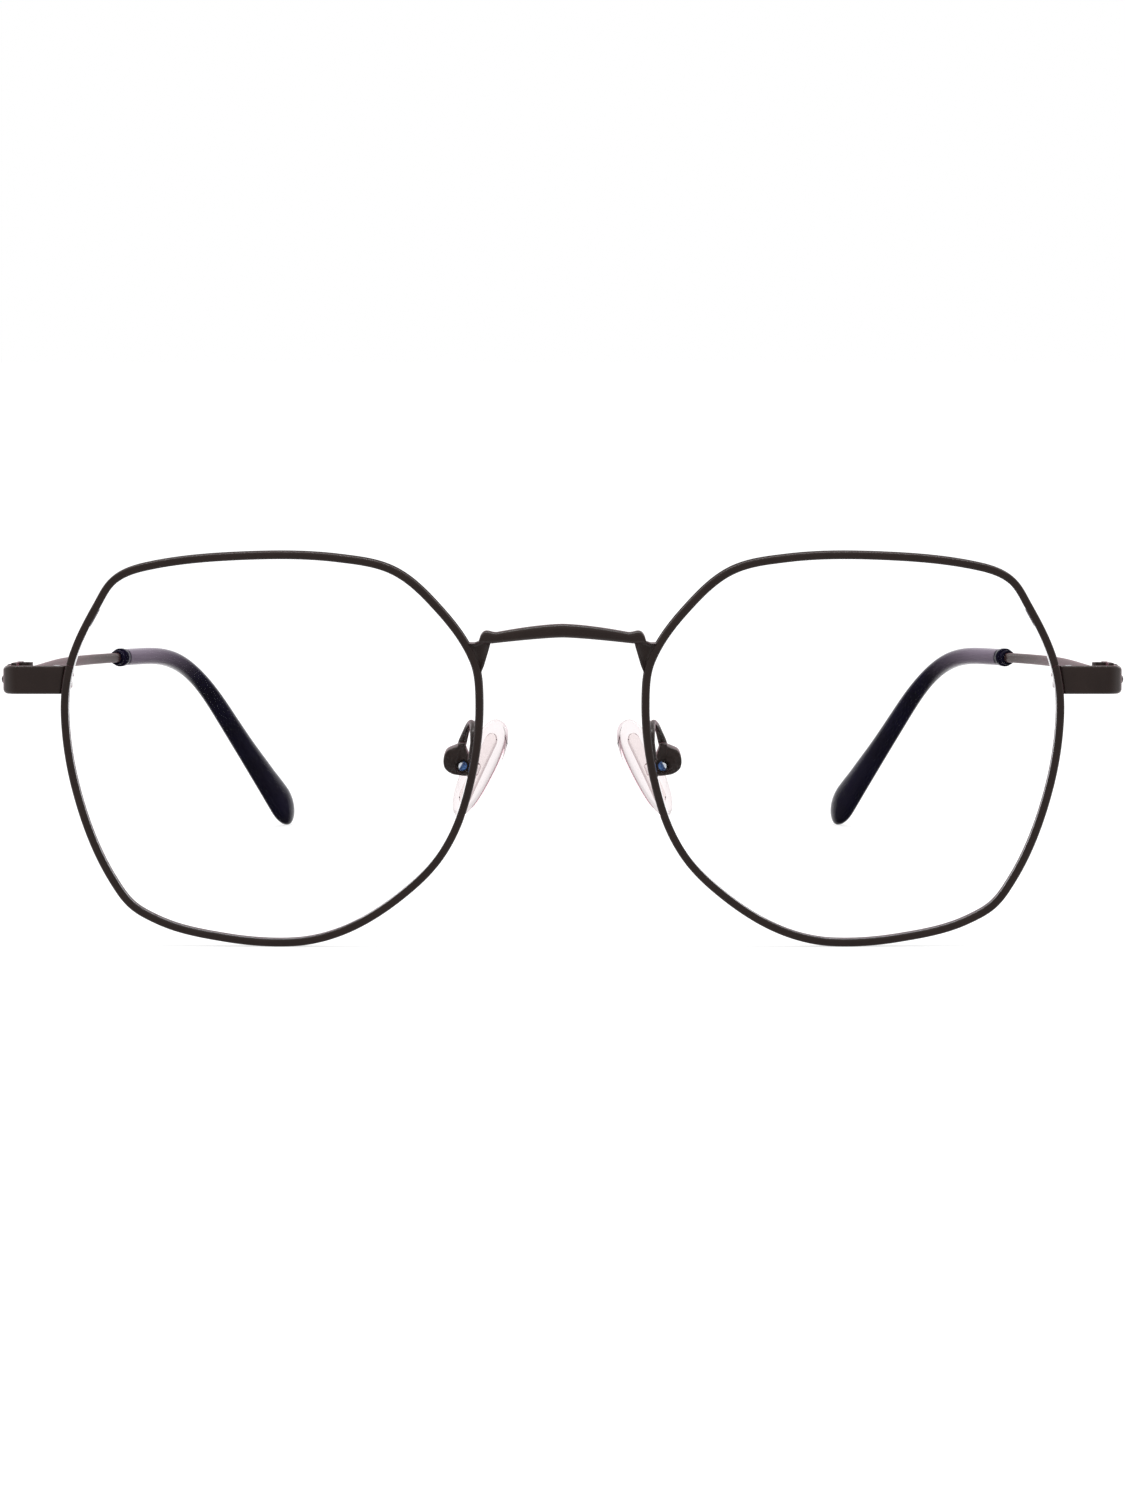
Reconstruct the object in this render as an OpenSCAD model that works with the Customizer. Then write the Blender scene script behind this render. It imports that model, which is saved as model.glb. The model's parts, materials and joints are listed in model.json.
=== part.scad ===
// Metal-rimmed computer glasses: two wire rims round clear lenses, a saddle bridge, clear nose
// pads screwed to wire arms, endpieces bent back to three-barrel hinges, and sleeved temples.
// X runs to the wearer's left, Y to the back and Z up. The glasses stand open as on a table:
// the rims and the temple tips rest on z = 0. The wearer's right half is drawn, and mirrored.

/* [Lenses] */
// Width of one lens, edge to edge
lens_w = 52; // [46:0.5:58]
// Height of one lens, edge to edge
lens_h = 49.1; // [42:0.1:53]
// Distance between the two lenses
lens_gap = 20.8; // [18:0.2:25]
// Radius of the lens's curve, front to back
lens_r = 260; // [120:5:500]
// Thickness of a lens
lens_t = 1.3; // [1.2:0.1:2.4]
// Thickness of the lens's edge, which the rim's groove holds
lens_edge_t = 0.45; // [0.3:0.05:0.5]

/* [Front] */
// Angle that each lens turns back on its temple side
wrap = 2; // [0:0.5:7]
// Angle that the front leans forward at its top when the glasses stand open
lean = 3; // [1:0.5:7]
// Width of the rim wire, seen from the front
rim_w = 1; // [0.95:0.05:1.8]
// Depth of the rim wire, front to back
rim_d = 1.5; // [1.5:0.1:2.6]
// Depth of the groove in the rim
groove_d = 0.5; // [0.4:0.05:0.6]
// Gap where the rim is split, above the endpiece
seam_gap = 0.1; // [0.05:0.05:0.3]

/* [Bridge] */
// Height of the bridge's middle above the lens's middle
bridge_z = 15.3; // [12:0.1:16]
// Height of the bridge bar, seen from the front
bridge_h = 1.55; // [1.4:0.05:2.4]
// Height of the bridge bar at its shoulders
bridge_end_h = 1.3; // [1.1:0.05:2]
// Depth of the bridge bar, front to back
bridge_d = 1.5; // [1.2:0.1:2.2]
// How far the bridge's ends drop below its middle
bridge_drop = 1.1; // [0:0.1:2]
// How far the bridge's middle stands forward of its ends
bridge_bow = 1; // [0.4:0.1:3]
// Length of the gusset that runs down each rim below the bar
gusset_l = 3.7; // [2:0.1:6]
// Width of the gusset where it leaves the bar
gusset_w = 2.85; // [1.8:0.05:3.2]

/* [Endpieces] */
// Distance from the temple side of the rim to the outer face of the endpiece
end_reach = 7.7; // [6.5:0.1:10]
// Height of an endpiece
end_h = 3.55; // [3.2:0.05:5]
// Thickness of an endpiece's front plate
end_t = 1.2; // [1:0.1:1.5]
// Thickness of the endpiece's side and of the temple beside the hinge
side_t = 1; // [0.8:0.1:1.4]
// Length of an endpiece, from its front face back to the hinge's axis
end_l = 6; // [5.5:0.1:8]
// Outer radius of the endpiece's bend
end_r = 2; // [1.5:0.1:2.5]
// Rounding of the endpiece's outer edges
end_edge_r = 0.7; // [0.3:0.1:1]
// Height of the hinge's middle above the lens's middle
hinge_z = 8.25; // [5:0.05:9]

/* [Hinges] */
// Outer diameter of the hinge barrels
barrel_od = 2.3; // [1.9:0.05:2.6]
// Height of all three barrels together
barrel_h = 3.4; // [2.6:0.1:3.4]
// Diameter of the hinge screw
hinge_screw_d = 1; // [0.8:0.05:1.2]
// Length of the temple's hinge leaf beyond the hinge's axis
leaf_l = 4.4; // [3.8:0.1:4.8]
// Thickness of a hinge leaf
leaf_t = 0.62; // [0.5:0.02:0.8]
// Diameter of the screws that close the rims
lock_screw_d = 1; // [0.8:0.05:1.2]
// Diameter of the rivet's shank through the endpiece's side
rivet_d = 0.8; // [0.6:0.05:1]
// Running clearance of the moving pieces, on the radius
run_gap = 0.05; // [0.03:0.01:0.08]

/* [Temples] */
// Length of a temple along its curve, from the hinge to the end of the tip
temple_l = 138; // [125:1:150]
// Height of the temple beside the hinge
temple_front_h = 3.3; // [2.8:0.1:3.3]
// Height of the temple's wire
temple_h = 1.35; // [1.25:0.05:2]
// Height of the wire's middle above the hinge's middle
temple_rise = 0.6; // [0:0.05:0.8]
// Width of the temple's wire
temple_w = 1.25; // [1:0.05:1.6]
// Bare length of the temple, from the hinge to the tip's mouth
bare_l = 69; // [60:1:76]
// Distance along the temple at which it starts to bend down
bend_at = 76; // [72:1:90]
// Length of the temple that bends down behind the ear
bend_l = 32; // [16:1:38]
// Angle that the tip drops
drop_angle = 35.8; // [25:0.2:50]
// Angle that the bare temple turns inward
inward_front = 4; // [0:0.5:5]
// Angle that the tip turns inward
inward_back = 20.4; // [10:0.2:24]
// Height of the tip at its mouth
tip_front_h = 2.4; // [2.3:0.1:3.2]
// Height of the tip across its flat end
tip_end_h = 4.2; // [3.6:0.1:5.4]
// Width of the tip
tip_w = 2.5; // [2.3:0.1:3.2]

/* [Nose pads] */
// Height of a pad
pad_h = 13.5; // [11:0.1:15]
// Width of a pad
pad_w = 6.8; // [6:0.1:8.4]
// Thickness of a pad
pad_t = 1.7; // [1.5:0.1:2.4]
// Angle that the pads close towards the top
pad_tilt = 20; // [12:1:26]
// Angle that the pads open towards the face
pad_splay = 34; // [15:1:36]
// Angle that a pad leans on its core, on top of the tilt
pad_lean = 5; // [0:0.5:8]
// Height of the pad's screw above the lens's middle
pad_z = -3.1; // [-5:0.1:0]
// Distance from the rim's nasal edge out to the pad's screw
pad_out = 1.9; // [1.6:0.1:3.5]
// Distance from the lens plane back to the pad's screw
pad_back = 9; // [8:0.1:11]
// Diameter of the pad arm's wire
arm_d = 0.9; // [0.7:0.05:1.1]
// Diameter of the pad's screw
pad_screw_d = 0.7; // [0.6:0.05:0.9]

/* [Hidden] */
$fn = 48;

metal = "#38322f";
bare_steel = "#b9c1cc";
clear = [0.9, 0.95, 1, 0.35];
tip_plastic = "#1d1b2b";

// Gap left by a soldered or glued seam
seat_gap = 0.03;
// Straight pieces in each stretch of the lens outline
outline_steps = 5;

// The lens outline is a rounded shape with seven sides. Each knot is [x, z, heading], with x
// towards the nose and the heading counter-clockwise from it, for a lens 52 by 49.
knots = [
  [26, 6.5, 91], [25.3, 11.4, 112], [21.1, 17.7, 132], [15, 22.8, 156],
  [8.5, 24.2, 173], [-4.5, 24.4, 183], [-15.7, 23, 193], [-19.5, 21.4, 218],
  [-21.8, 18.1, 240], [-25.1, 11.1, 253], [-26, 4.6, 271], [-24.7, -5.1, 284],
  [-20.2, -16.6, 301], [-17.9, -19.7, 318], [-14.7, -21.6, 335], [-6.1, -23.8, 351],
  [2.3, -24.3, 3], [9, -22.7, 23], [16.2, -18.2, 39], [21, -13.3, 55], [24, -7, 73]
];

// Small curve and vector helpers
function unit(v) = v / norm(v);
function blend(t) = let (u = min(1, max(0, t))) u * u * (3 - 2 * u);
function along(angle) = [cos(angle), sin(angle)];
function bezier(a, b, c, d, t) =
  pow(1 - t, 3) * a + 3 * t * pow(1 - t, 2) * b + 3 * t * t * (1 - t) * c + pow(t, 3) * d;

// Stretch of outline between two knots, as near to one arc as the headings allow
function turn(a, b) = (b[2] - a[2] + 720) % 360;
function handle(a, b) = norm([b.x - a.x, b.y - a.y]) / 3 / pow(cos(turn(a, b) / 4), 2);
function stretch_at(a, b, t) = bezier(
  [a.x, a.y], [a.x, a.y] + handle(a, b) * along(a[2]),
  [b.x, b.y] - handle(a, b) * along(b[2]), [b.x, b.y], t);

drawn = [for (i = [0:len(knots) - 1], k = [0:outline_steps - 1])
  stretch_at(knots[i], knots[(i + 1) % len(knots)], k / outline_steps)];
low = [min([for (p = drawn) p.x]), min([for (p = drawn) p.y])];
high = [max([for (p = drawn) p.x]), max([for (p = drawn) p.y])];
// Edge of the lens, at the bottom of the rim's groove
edge = [for (p = drawn) [
  ((p.x - low.x) / (high.x - low.x) - 0.5) * lens_w,
  ((p.y - low.y) / (high.y - low.y) - 0.5) * lens_h
]];
count = len(edge);
function outward(before, after) = unit([after.y - before.y, before.x - after.x]);
function shifted(d) = [for (i = [0:count - 1])
  edge[i] + d * outward(edge[(i + count - 1) % count], edge[(i + 1) % count])];

// The wire stands this far outside the lens's edge
rim_out = rim_w - groove_d;
outer_edge = shifted(rim_out);
function nasal_x(line, z) = lookup(z, [for (p = line) if (p.x > 0) [p.y, p.x]]);
function temple_x(line, z) = lookup(z, [for (p = line) if (p.x < 0) [p.y, p.x]]);
// Depth of the curved lens surface behind its vertex
function dome(x, z) = lens_r - sqrt(lens_r * lens_r - x * x - z * z);

// From one lens's own frame to the front's, and from the front's to the standing glasses'
eye_x = (lens_w + lens_gap) / 2;
function in_front(p) = [
  -eye_x + p.x * cos(wrap) + p.y * sin(wrap), -p.x * sin(wrap) + p.y * cos(wrap), p.z];
function height(p) = p.y * sin(lean) + p.z * cos(lean);

// The temples slope down to the table by about this angle
slope_about = 3;

// Rim: an open wire, grooved inside, from below the seam round to above it
end_z = hinge_z + end_l * sin(lean + slope_about);
seam_z = end_z + end_h / 2 - 0.15;
seam = [temple_x(edge, seam_z), seam_z];
after_seam = min([for (i = [0:count - 1]) if (edge[i].x < 0 && edge[i].y < seam_z) i]);
seam_clear = 0.5;
function cut_at(z) = [temple_x(edge, z), z];
rim_path = concat(
  [cut_at(seam_z - seam_gap / 2)],
  [for (i = [after_seam:count - 1]) if (norm(edge[i] - seam) > seam_clear) edge[i]],
  [for (i = [0:after_seam - 1]) if (norm(edge[i] - seam) > seam_clear) edge[i]],
  [cut_at(seam_z + seam_gap / 2)]
);
half_d = rim_d / 2;
corner = 0.22;
groove_mouth = lens_edge_t / 2 + 0.22;
groove_floor = lens_edge_t / 2 + 0.08;
rim_section = [
  [rim_out, half_d - corner], [rim_out, corner - half_d],
  [rim_out - corner, -half_d], [corner - groove_d, -half_d], [-groove_d, corner - half_d],
  [-groove_d, -groove_mouth], [0, -groove_floor], [0, groove_floor], [-groove_d, groove_mouth],
  [-groove_d, half_d - corner], [corner - groove_d, half_d], [rim_out - corner, half_d]
];
rim_last = len(rim_path) - 1;
rim_rings = [for (i = [0:rim_last])
  let (
    p = rim_path[i],
    n = outward(rim_path[max(0, i - 1)], rim_path[min(rim_last, i + 1)])
  )
  [for (q = rim_section) [p.x + q[0] * n.x, dome(p.x, p.y) + q[1], p.y + q[0] * n.y]]];

// The rims' lowest point is on the table
rest_z = -min([for (ring = rim_rings, p = ring) height(in_front(p))]);
function standing(p) = [p.x, p.y * cos(lean) - p.z * sin(lean), rest_z + height(p)];

// Front view of the rim's outer edge in the front's frame, at its foremost and rearmost depth
function temple_edge(z) = let (x = temple_x(outer_edge, z)) in_front([x, dome(x, z) - half_d, z]).x;
function nasal_edge(z) = let (x = nasal_x(outer_edge, z)) in_front([x, dome(x, z) + half_d, z]).x;

// Hinge
barrel_r = barrel_od / 2;
// The barrels run this far from the side plates
hinge_x = -temple_edge(end_z) + end_reach - side_t - barrel_r - seat_gap;
side_in = barrel_r + seat_gap;
side_out = side_in + side_t;
rim_front = in_front([temple_x(edge, end_z), dome(temple_x(edge, end_z), end_z) - half_d, 0]).y;
hinge_point = standing([-hinge_x, rim_front + end_l, hinge_z]);
knuckle_gap = 0.04;
knuckle_h = (barrel_h - 2 * knuckle_gap) / 3;
barrel_proud = 0.12;
barrel_top = end_h / 2 + barrel_proud;
barrel_low = barrel_top - barrel_h;
knuckle_pitch = knuckle_h + knuckle_gap;
butt_gap = 0.02;
// The hinge screw's head is sunk in the upper barrel
sunk_h = 0.4;
hinge_head_d = 1.5;

// Temple: its centre line turns inward and then drops, in steps of one millimetre
path_step = 1;
straight_l = leaf_l + 0.6;
function inward(s) = inward_front * blend((s - straight_l) / 10)
  + (inward_back - inward_front) * blend((s - bare_l + 26) / 32);
// The wire rises a little over this stretch, before it drops
rise_at = 10;
rise_l = 36;
function rise(s) = temple_rise * blend((s - rise_at) / rise_l);
function drop(s) = drop_angle * blend((s - bend_at) / bend_l);
function heading_at(s) = [
  -sin(inward(s)) * cos(drop(s)), cos(inward(s)) * cos(drop(s)), -sin(drop(s))];
temple_start = [side_in + side_t / 2, butt_gap + 0.01, 0];
temple_path = [for (s = 0, p = temple_start; s <= temple_l;
  p = p + path_step * heading_at(s + path_step / 2), s = s + path_step) p];
path_end = len(temple_path) - 1;

// One ring of a swept piece at a distance along the temple, with its middle raised by up
function ring_at(s, shape, up = 0) =
  let (t = heading_at(s), u = unit(cross(t, [0, 0, 1])), v = cross(u, t))
  [for (q = shape) temple_path[min(path_end, round(s / path_step))] + q[0] * u + (q[1] + up) * v
    + [0, 0, rise(s)]];
function chamfered(w, h, c) = [
  [w / 2, h / 2 - c], [w / 2 - c, h / 2], [c - w / 2, h / 2], [-w / 2, h / 2 - c],
  [-w / 2, c - h / 2], [c - w / 2, -h / 2], [w / 2 - c, -h / 2], [w / 2, c - h / 2]];
function oval(w, h, sides) = [for (k = [0:sides - 1])
  let (a = 360 * (k + 0.5) / sides) [w / 2 * cos(a), h / 2 * sin(a)]];

core_d = 1.2;
core_l = temple_l - 16;
temple_taper_l = 13;
function taper(s) = blend((s - straight_l) / temple_taper_l);
function sleeved(s) = blend((s - bare_l + 1) / 2);
function wire_w(s) = let (bare = side_t + (temple_w - side_t) * taper(s))
  bare + (core_d - bare) * sleeved(s);
function wire_h(s) = let (bare = temple_front_h + (temple_h - temple_front_h) * taper(s))
  bare + (core_d - bare) * sleeved(s);
temple_rings = [for (s = [0:3:core_l]) ring_at(s, chamfered(wire_w(s), wire_h(s), 0.25))];

// Tip: from the blind end of its bore out to the mouth, and back over the outside
bore_d = core_d + 0.3;
tip_sides = 12;
collar_l = 2;
collar_d = tip_front_h + 0.2;
tip_swell_at = bare_l + 18;
function tip_swell(s) = (tip_end_h - tip_front_h) * blend((s - tip_swell_at) / (temple_l - 8 - tip_swell_at));
function tip_h(s) = tip_front_h + tip_swell(s);
function tip_round(s) = let (q = max(0, (s - temple_l + 5) / 5.2)) sqrt(1 - q * q);
tip_inside = [for (s = [core_l + 3:-4:bare_l]) ring_at(s, oval(bore_d, bore_d, tip_sides))];
tip_mouth = [
  ring_at(bare_l, oval(bore_d, bore_d, tip_sides)),
  ring_at(bare_l, oval(collar_d - 0.5, collar_d - 0.5, tip_sides)),
  ring_at(bare_l + 1, oval(collar_d - 0.5, collar_d - 0.5, tip_sides)),
  ring_at(bare_l + 1, oval(collar_d, collar_d, tip_sides)),
  ring_at(bare_l + collar_l, oval(collar_d, collar_d, tip_sides)),
  ring_at(bare_l + collar_l + 1, oval(tip_w, tip_h(bare_l + 3), tip_sides))
];
// The tip swells upward more than downward
tip_lift = 0.45;
tip_outside = [for (s = [bare_l + 7:4:temple_l - 5])
  ring_at(s, oval(tip_w, tip_h(s), tip_sides), tip_lift * tip_swell(s))];
tip_cap = [for (s = [temple_l - 4:1:temple_l])
  ring_at(s, oval(tip_w * tip_round(s), tip_h(s) * tip_round(s), tip_sides), tip_lift * tip_swell(s))];
tip_rings = concat(
  [for (ring = tip_inside) if (ring != tip_mouth[0]) ring], tip_mouth, tip_outside, tip_cap);

// Slope of the temples at which the tips' ends reach the table
function slope_for(p) = let (reach = norm([p.y, p.z]))
  atan2(-p.y, p.z) + acos(max(-1, min(1, -hinge_point.z / reach)));
function lowest(slope) =
  let (
    points = [for (ring = tip_cap, p = ring) p],
    heights = [for (p = points) p.z * cos(slope) - p.y * sin(slope)]
  )
  [for (i = [0:len(points) - 1]) if (heights[i] == min(heights)) points[i]][0];
slope = slope_for(lowest(slope_for(lowest(2))));

// The bridge: its ends at the rims, and its bow
foot_z = bridge_z - bridge_drop - bridge_end_h / 2;
bridge_end_x = -nasal_edge(foot_z);
bridge_end_y = in_front([nasal_x(edge, foot_z), dome(nasal_x(edge, foot_z), foot_z), 0]).y;
bridge_r = (pow(bridge_end_x, 2) + pow(bridge_bow, 2)) / (2 * bridge_bow);

// The origin lies under the middle of the glasses, from the bridge or the rims back to the tips
foremost = min(
  standing([0, bridge_end_y - bridge_bow - bridge_d / 2, bridge_z + bridge_h / 2]).y,
  min([for (ring = rim_rings, p = ring) standing(in_front(p)).y]));
rearmost = hinge_point.y + max([for (ring = tip_cap, p = ring) p.y * cos(slope) + p.z * sin(slope)]);
middle_y = (foremost + rearmost) / 2;

// Rim closing pieces, behind the rim and the endpiece's front plate
lug_top = seam_z + 1.9;
lug_foot_top = seam_z - 0.85;
lug_foot_h = 1;
lug_foot_low = lug_foot_top - lug_foot_h;
block_top = lug_foot_low - 0.05;
// The block is hidden behind the endpiece's plate
block_low = end_z - end_h / 2 + 0.2;
lug_y = dome(temple_x(edge, lug_top), lug_top) + half_d + seat_gap;
lug_d = 2.4;
lug_out = 2.9;
lock_x = seam.x - rim_out - 1.65;
lock_y = lug_y + lug_d / 2;
lock_head_h = 0.45;

// Pad: its screw runs front to back, and turns with the pad's own tilt
pad_screw_x = nasal_edge(pad_z) - pad_out;
pad_point = [pad_screw_x, pad_back, pad_z];
box_out = 2.3;
box_in = 0.95;
box_low = -1.25;
box_top = 2;
cheek_t = 0.6;
core_t = 1.6;
slot_t = core_t + 2 * run_gap;
box_t = slot_t + 2 * cheek_t;
lug_r = 1;
pad_taper = 0.12;
pad_x = 2.3;
pad_y = 1;
pad_up = 0;
arm_r = arm_d / 2;
// The arm is soldered this far to the lens's side of the groove's floor
arm_in = 0.5;

// Draws one side's piece, which is modelled on the wearer's right
module on_side(side) {
  if (side == "left") mirror([1, 0, 0]) children();
  else children();
}

module on_front() {
  translate([0, -middle_y, rest_z]) rotate([lean, 0, 0]) children();
}

module on_eye() {
  on_front() translate([-eye_x, 0, 0]) rotate([0, 0, -wrap]) children();
}

// At the hinge's axis, with x outward, y back along the temple and z along the axis
module on_hinge() {
  translate(hinge_point - [0, middle_y, 0]) rotate([-slope, 0, 0]) mirror([1, 0, 0]) children();
}

// At the pad's screw, with x towards the nose, y to the back and z up the pad
module on_pad() {
  on_front() translate(pad_point) rotate([0, pad_tilt, 0]) children();
}

module on_pad_plate() {
  translate([pad_x, pad_y, pad_up]) rotate([0, pad_lean, 0]) rotate([0, 0, pad_splay]) children();
}

// A closed solid through a list of rings that have the same number of points
module skin(rings) {
  n = len(rings);
  m = len(rings[0]);
  sides = [for (i = [0:n - 2], j = [0:m - 1])
    let (a = i * m + j, b = i * m + (j + 1) % m, c = a + m, d = b + m)
    each [[a, b, d], [a, d, c]]];
  first = [for (j = [m - 1:-1:0]) j];
  last = [for (j = [0:m - 1]) (n - 1) * m + j];
  polyhedron(points = [for (ring = rings) each ring], faces = concat(sides, [first, last]));
}

// A flat shape in the x-z plane, given a thickness from y0 back to y1
module standing_plate(y0, y1) {
  translate([0, y1, 0]) rotate([90, 0, 0]) linear_extrude(y1 - y0) children();
}

module block(x0, x1, y0, y1, z0, z1) {
  translate([x0, y0, z0]) cube([x1 - x0, y1 - y0, z1 - z0]);
}

module rounded(x0, x1, z0, z1, r) {
  translate([x0 + r, z0]) square([x1 - x0 - 2 * r, z1 - z0]);
  translate([x0, z0 + r]) square([x1 - x0, z1 - z0 - 2 * r]);
  for (x = [x0 + r, x1 - r], z = [z0 + r, z1 - r]) translate([x, z]) circle(r);
}

// A slotted screw along z: the underside of its head is at z = 0
module screw(d, l, head_d, head_h) {
  slot_w = head_d / 6;
  difference() {
    union() {
      translate([0, 0, -l]) cylinder(d = d, h = l + head_h / 2);
      cylinder(d = head_d, h = head_h);
    }
    translate([-head_d, -slot_w / 2, head_h * 0.55]) cube([2 * head_d, slot_w, head_h]);
  }
}

module rim(side) {
  color(metal) on_side(side) on_eye() skin(rim_rings);
}

// The lens is a curved plate, thinned to an edge that fills the rim's groove
module lens(side) {
  thin = lens_edge_t / 2;
  reach = dome(lens_w / 2, lens_h / 2) + lens_t;
  color(clear) on_side(side) on_eye() union() {
    lens_layer(-lens_t / 2, lens_t / 2, -groove_d - run_gap, reach);
    lens_layer(-thin, thin, -run_gap, reach);
  }
}

module lens_layer(front, back, inset, reach) {
  intersection() {
    standing_plate(-lens_t, reach) polygon(shifted(inset));
    translate([0, lens_r, 0]) difference() {
      sphere(r = lens_r - front, $fn = 180);
      sphere(r = lens_r - back, $fn = 180);
    }
  }
}

// The bridge bar, bowed forward, with a rounded shoulder and a gusset down each rim
module bridge() {
  // Height of the bar's middle line, and of the bar, at the distance x from the middle
  gusset_x = bridge_end_x - gusset_w;
  function line(x) = bridge_z - bridge_drop * pow(x / gusset_x, 2);
  function bar_h(x) = bridge_h + (bridge_end_h - bridge_h) * pow(x / gusset_x, 2);
  shoulder_r = 0.8;
  shoulder_x = bridge_end_x - 1.4;
  shoulder_z = line(gusset_x) + bar_h(gusset_x) / 2 - shoulder_r + 0.3;
  foot_top = foot_z - 0.2;
  half = concat(
    [for (k = [0:8]) let (x = (gusset_x - 0.6) * k / 8) [x, line(x) + bar_h(x) / 2]],
    [for (a = [75:-15:15]) [shoulder_x - shoulder_r, shoulder_z] + shoulder_r * along(a)],
    [[shoulder_x + 0.35, foot_top + 0.1]],
    [for (k = [0:6]) let (z = foot_top - (gusset_l - 0.1) * k / 6) [-nasal_edge(z) - seat_gap, z]],
    [for (k = [8:-1:0]) let (x = gusset_x * k / 8) [x, line(x) - bar_h(x) / 2]]
  );
  other = [for (k = [len(half) - 2:-1:1]) [-half[k].x, half[k].y]];
  color(metal) on_front() intersection() {
    standing_plate(-20, 20) polygon(concat(half, other));
    translate([0, bridge_end_y - bridge_bow + bridge_r, 0]) difference() {
      cylinder(r = bridge_r + bridge_d / 2, h = 60, center = true, $fn = 240);
      cylinder(r = bridge_r - bridge_d / 2, h = 80, center = true, $fn = 240);
    }
  }
}

// The front plate, the bend and the side that runs back to the hinge
module endpiece_plan() {
  inner = side_out - end_reach - 2;
  translate([inner, -end_l]) square([side_out - end_r - inner, end_t]);
  translate([side_in, end_r - end_l]) square([side_t, end_l - end_r - butt_gap]);
  intersection() {
    translate([side_out - end_r, end_r - end_l]) difference() {
      circle(end_r);
      circle(end_r - side_t);
    }
    translate([side_out - end_r, -end_l]) square(end_r);
  }
}

module endpiece(side) {
  top = end_h / 2;
  // The inner end follows the rim's outer edge, at the depth where the rim reaches farthest out
  function inner_end(z) = let (x = temple_x(outer_edge, end_z + z))
    -hinge_x - min([for (y = [-half_d, half_d]) in_front([x, dome(x, end_z + z) + y, 0]).x]);
  color(metal) on_side(side) on_hinge() difference() {
    intersection() {
      linear_extrude(end_h, center = true) endpiece_plan();
      standing_plate(-end_l - 1, 1) union() {
        rounded(side_out - 3, side_out, -top, top, end_edge_r);
        polygon(concat(
          [[side_out - 2, -top], [side_out - 2, top]],
          [for (k = [4:-1:-4]) let (z = top * k / 4) [inner_end(z) + 2 * seat_gap, z]]
        ));
      }
    }
    rivet_hole();
  }
}

rivet_y = -2.5;

module rivet_hole() {
  translate([0, rivet_y, 0]) rotate([0, 90, 0]) cylinder(d = rivet_d + 0.06, h = side_out + 1);
}

// A domed rivet that holds the hinge's front leaf in the endpiece
module side_rivet(side) {
  head_r = 0.65;
  dome_h = 0.35;
  ball_r = (head_r * head_r + dome_h * dome_h) / (2 * dome_h);
  shank_in = side_in - leaf_t;
  color(metal) on_side(side) on_hinge() translate([0, rivet_y, 0]) rotate([0, 90, 0]) {
    translate([0, 0, shank_in]) cylinder(d = rivet_d, h = side_out - shank_in + 0.1);
    intersection() {
      translate([0, 0, side_out + 0.01 + dome_h - ball_r]) sphere(ball_r);
      translate([0, 0, side_out + 0.01]) cylinder(r = head_r, h = 1);
    }
  }
}

// Space that one knuckle of the hinge takes, counted up from the lowest, 0
module knuckle(k, r, gap = 0) {
  translate([0, 0, barrel_low + k * knuckle_pitch - gap]) cylinder(r = r, h = knuckle_h + 2 * gap);
}

module hinge_bore(d) {
  translate([0, 0, -barrel_h]) cylinder(d = d, h = 2 * barrel_h);
}

// The front leaf fills the straight part of the endpiece's side
module hinge_front_leaf(side) {
  color(metal) on_side(side) on_hinge() difference() {
    union() {
      block(barrel_r - leaf_t, barrel_r, end_r - end_l, 0, barrel_low, barrel_top);
      knuckle(0, barrel_r);
      knuckle(2, barrel_r);
    }
    knuckle(1, barrel_r + run_gap, knuckle_gap);
    hinge_bore(hinge_screw_d + 0.04);
    translate([0, 0, barrel_top - sunk_h]) cylinder(d = hinge_head_d + 0.1, h = 1);
    rivet_hole();
  }
}

module hinge_temple_leaf(side) {
  color(metal) on_side(side) on_hinge() difference() {
    union() {
      block(barrel_r - leaf_t, barrel_r, 0, leaf_l, barrel_low, barrel_top);
      knuckle(1, barrel_r);
    }
    knuckle(0, barrel_r + run_gap, knuckle_gap);
    knuckle(2, barrel_r + run_gap, knuckle_gap);
    hinge_bore(hinge_screw_d + 2 * run_gap);
  }
}

module hinge_screw(side) {
  color(bare_steel) on_side(side) on_hinge() translate([0, 0, barrel_top - sunk_h + 0.01])
    screw(hinge_screw_d, barrel_h - sunk_h, hinge_head_d, sunk_h - 0.03);
}

module temple(side) {
  color(metal) on_side(side) on_hinge() skin(temple_rings);
}

module temple_tip(side) {
  color(tip_plastic) on_side(side) on_hinge() skin(tip_rings);
}

module lock_hole(d) {
  translate([lock_x, lock_y, block_low + 0.3]) cylinder(d = d, h = 10);
}

// The upper lug is soldered to the rim above the seam, and its foot lies on the block
module closing_lug(side) {
  leg_in = groove_d - 0.1;
  leg_out = rim_out - 0.1;
  heights = [for (k = [0:4]) lug_foot_low + (lug_top - lug_foot_low) * k / 4];
  color(metal) on_side(side) on_eye() difference() {
    union() {
      standing_plate(lug_y, lug_y + 1.2) polygon(concat(
        [for (z = heights) [temple_x(edge, z) + leg_in, z]],
        [for (k = [4:-1:0]) [temple_x(edge, heights[k]) - leg_out, heights[k]]]
      ));
      block(seam.x - rim_out - lug_out, seam.x, lug_y, lug_y + lug_d, lug_foot_low, lug_foot_top);
    }
    lock_hole(lock_screw_d + 0.1);
  }
}

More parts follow.
